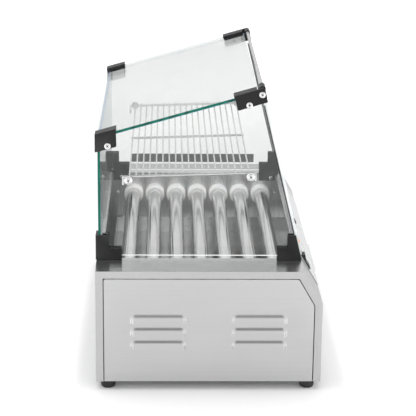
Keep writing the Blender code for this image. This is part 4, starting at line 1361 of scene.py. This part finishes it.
def bun_shelf():
    shape = bmesh.new()
    for i in range(CROSS_WIRES):
        depth = SHELF_START + (SHELF_END - SHELF_START) * i / (CROSS_WIRES - 1)
        ends = [on_shelf(x, depth, 0.9) for x in (-SHELF_X - 1.0, SHELF_X + 1.0)]
        wire(shape, ends, radius=1.15, sides=12)
    rear, front = BAR_DEPTHS
    for x in (-SHELF_X, SHELF_X):
        bar = [on_shelf(x, rear, -BAR_LEG), on_shelf(x, rear, -BAR_DROP),
               on_shelf(x, front, -BAR_DROP), on_shelf(x, front, -BAR_LEG)]
        wire(shape, bar, radius=1.8, sides=16, bend=2.5)
    middle = [on_shelf(0, depth, -BAR_DROP) for depth in (46.0, 219.2)]
    wire(shape, middle, radius=1.7, sides=14)
    for sign in (-1, 1):
        for depth, z in STUDS:
            # An eye under the side bar, and the stud that holds it to the glass
            # between two washers.
            lathe(EYE_PROFILE, 32, along_x(sign * SHELF_X, depth, z), shape=shape)
            lathe(STUD_PROFILE, 20, along_x(sign * SHELF_X, depth, z, sign), closed=False,
                  shape=shape)
            lathe(OUTER_WASHER, 36, along_x(sign * GLASS_X, depth, z, sign), shape=shape)
            lathe(INNER_WASHER, 36, along_x(sign * GLASS_INNER_X, depth, z, -sign), shape=shape)
    seat(make("wire_shelf", shape, M_WIRE), "cabinet", "shelf_wire", "bun_shelf")


bun_shelf()
for side, sign in SIDES:
    screws(f"{side}_shelf_screws", sign, [
        (GLASS_X + 1.1, *stud, 1, 4.9, 2.4, turn) for stud, turn in zip(STUDS, (15, 40))])

# --------------------------------------------------------------------------
# Floor, world, lights and camera, in metres


def floor_material():
    """A light table that glows in front of and behind the machine.

    The glow is a backdrop only: steel doesn't mirror it, and mirrors the floor
    there a little darker. Further out the floor fades to white."""
    look = Look("floor_m", even(0.92), rough=0.6)
    cloud = look.noise(even(3), detail=2)
    look.colour(cloud, over=(0.3, 0.7), dark=even(0.91), light=even(0.93))
    x, y, _ = look.split(look.coord)
    beside = look.ramp(look.math("ABSOLUTE", y), over=(0.185, 0.30), to=(0.0, 2.4))
    near = look.ramp(look.math("ABSOLUTE", x), over=(0.29, 0.39), to=(1.0, 0.0))
    radius = look.new("ShaderNodeVectorMath")
    radius.operation = "LENGTH"
    look.link(look.coord, radius.inputs[0])
    far = look.ramp(radius.outputs["Value"], over=(0.8, 1.8), to=(0.0, 0.35))
    look.set("Emission Color", (1, 1, 1, 1))
    path = look.new("ShaderNodeLightPath").outputs
    glow = look.multiply(look.multiply(beside, near), path["Is Camera Ray"])
    # Two bright pools beyond the machine's left end, seen only in reflections.
    pools = look.multiply(
        look.ramp(look.math("ABSOLUTE", y), over=(0.24, 0.36), to=(0.0, 1.5)),
        look.ramp(x, over=(-0.34, -0.32), to=(1.0, 0.0)))
    pools = look.multiply(pools, look.ramp(x, over=(-0.66, -0.52)))
    glow = look.add(glow, look.multiply(pools, path["Is Glossy Ray"]))
    look.feed("Emission Strength", look.add(glow, far))
    dim = look.plain("ShaderNodeBsdfDiffuse", even(0.30))
    away = look.ramp(look.math("ABSOLUTE", y), over=(0.19, 0.45), to=(0.0, 0.55))
    away = look.multiply(away, look.ramp(x, over=(-0.40, -0.30)))
    dimming = look.multiply(away, path["Is Glossy Ray"])
    look.show(look.mix(dimming, look.bsdf.outputs[0], dim.outputs[0]))
    return look.mat


def studio_world():
    """White walls, brighter to the front and rear, with a dimmer ceiling."""
    world = bpy.data.worlds.new("studio")
    bpy.context.scene.world = world
    world.use_nodes = True
    nodes = Nodes(world.node_tree)

    def dimmed(level, where, amount):
        share = nodes.multiply(where, amount)
        return nodes.multiply(level, nodes.math("SUBTRACT", 1.0, share))

    x, y, z = nodes.split(nodes.new("ShaderNodeTexCoord").outputs["Generated"])
    overhead = nodes.ramp(z, over=(0.55, 0.9))
    walls = nodes.ramp(nodes.math("ABSOLUTE", y), over=(0.5, 0.85))
    level = nodes.add(1.0, nodes.multiply(walls, 0.65))
    level = dimmed(level, overhead, 0.52)
    path = nodes.new("ShaderNodeLightPath").outputs
    # In reflections the front and rear walls are dimmer, so that steel reads as steel.
    facing = nodes.ramp(nodes.math("ABSOLUTE", y), over=(0.55, 0.9))
    facing = nodes.multiply(facing, path["Is Glossy Ray"])
    facing = nodes.multiply(facing, nodes.ramp(x, over=(-0.32, -0.1)))
    level = dimmed(level, facing, 0.5)
    # The camera sees plain white.
    keep = nodes.math("SUBTRACT", 1.0, path["Is Camera Ray"])
    level = nodes.add(nodes.multiply(level, keep), nodes.multiply(path["Is Camera Ray"], 1.0))
    background = nodes.new("ShaderNodeBackground")
    background.inputs[0].default_value = (1, 1, 1, 1)
    nodes.link(level, background.inputs[1])
    output = nodes.new("ShaderNodeOutputWorld")
    nodes.link(background.outputs[0], output.inputs[0])


def lamp(name, place, target, size, power):
    """A square area light, not seen by the camera or in reflections."""
    data = bpy.data.lights.new(name, "AREA")
    data.shape = "RECTANGLE"
    data.size = data.size_y = size
    data.energy = power
    obj = bpy.data.objects.new(name, data)
    bpy.context.scene.collection.objects.link(obj)
    obj.location = place
    obj.rotation_mode = "QUATERNION"
    obj.rotation_quaternion = (Vector(target) - Vector(place)).to_track_quat("-Z", "Y")
    obj.visible_glossy = False
    obj.visible_camera = False


def add_camera():
    """A long lens beyond the left end, looking along +X and down."""
    camera = bpy.data.objects.new("camera", bpy.data.cameras.new("camera"))
    bpy.context.scene.collection.objects.link(camera)
    right = Vector((-0.02477, -0.99964, 0.01074))
    upward = Vector((0.28988, 0.00310, 0.95706))
    forward = Vector((0.95674, -0.02682, -0.28970))
    place = (-2.3370, 0.0656, 0.8941)
    camera.matrix_world = Matrix([*zip(right, upward, -forward, place), (0, 0, 0, 1)])
    camera.data.sensor_width = 36.0
    camera.data.lens = 133.2692308
    camera.data.clip_start, camera.data.clip_end = 0.05, 60.0
    bpy.context.scene.camera = camera


ground = bmesh.new()
bmesh.ops.create_grid(ground, x_segments=2, y_segments=2, size=8.0)
floor = make("floor", ground, floor_material())
studio_world()
lamp("soft_top", place=(-0.4, 0.2, 2.6), target=(0, 0, 0.1), size=2.6, power=34)
lamp("soft_front", place=(-2.4, -1.6, 1.5), target=(0, 0, 0.2), size=1.4, power=10)
add_camera()
bpy.context.scene.view_settings.view_transform = "Standard"
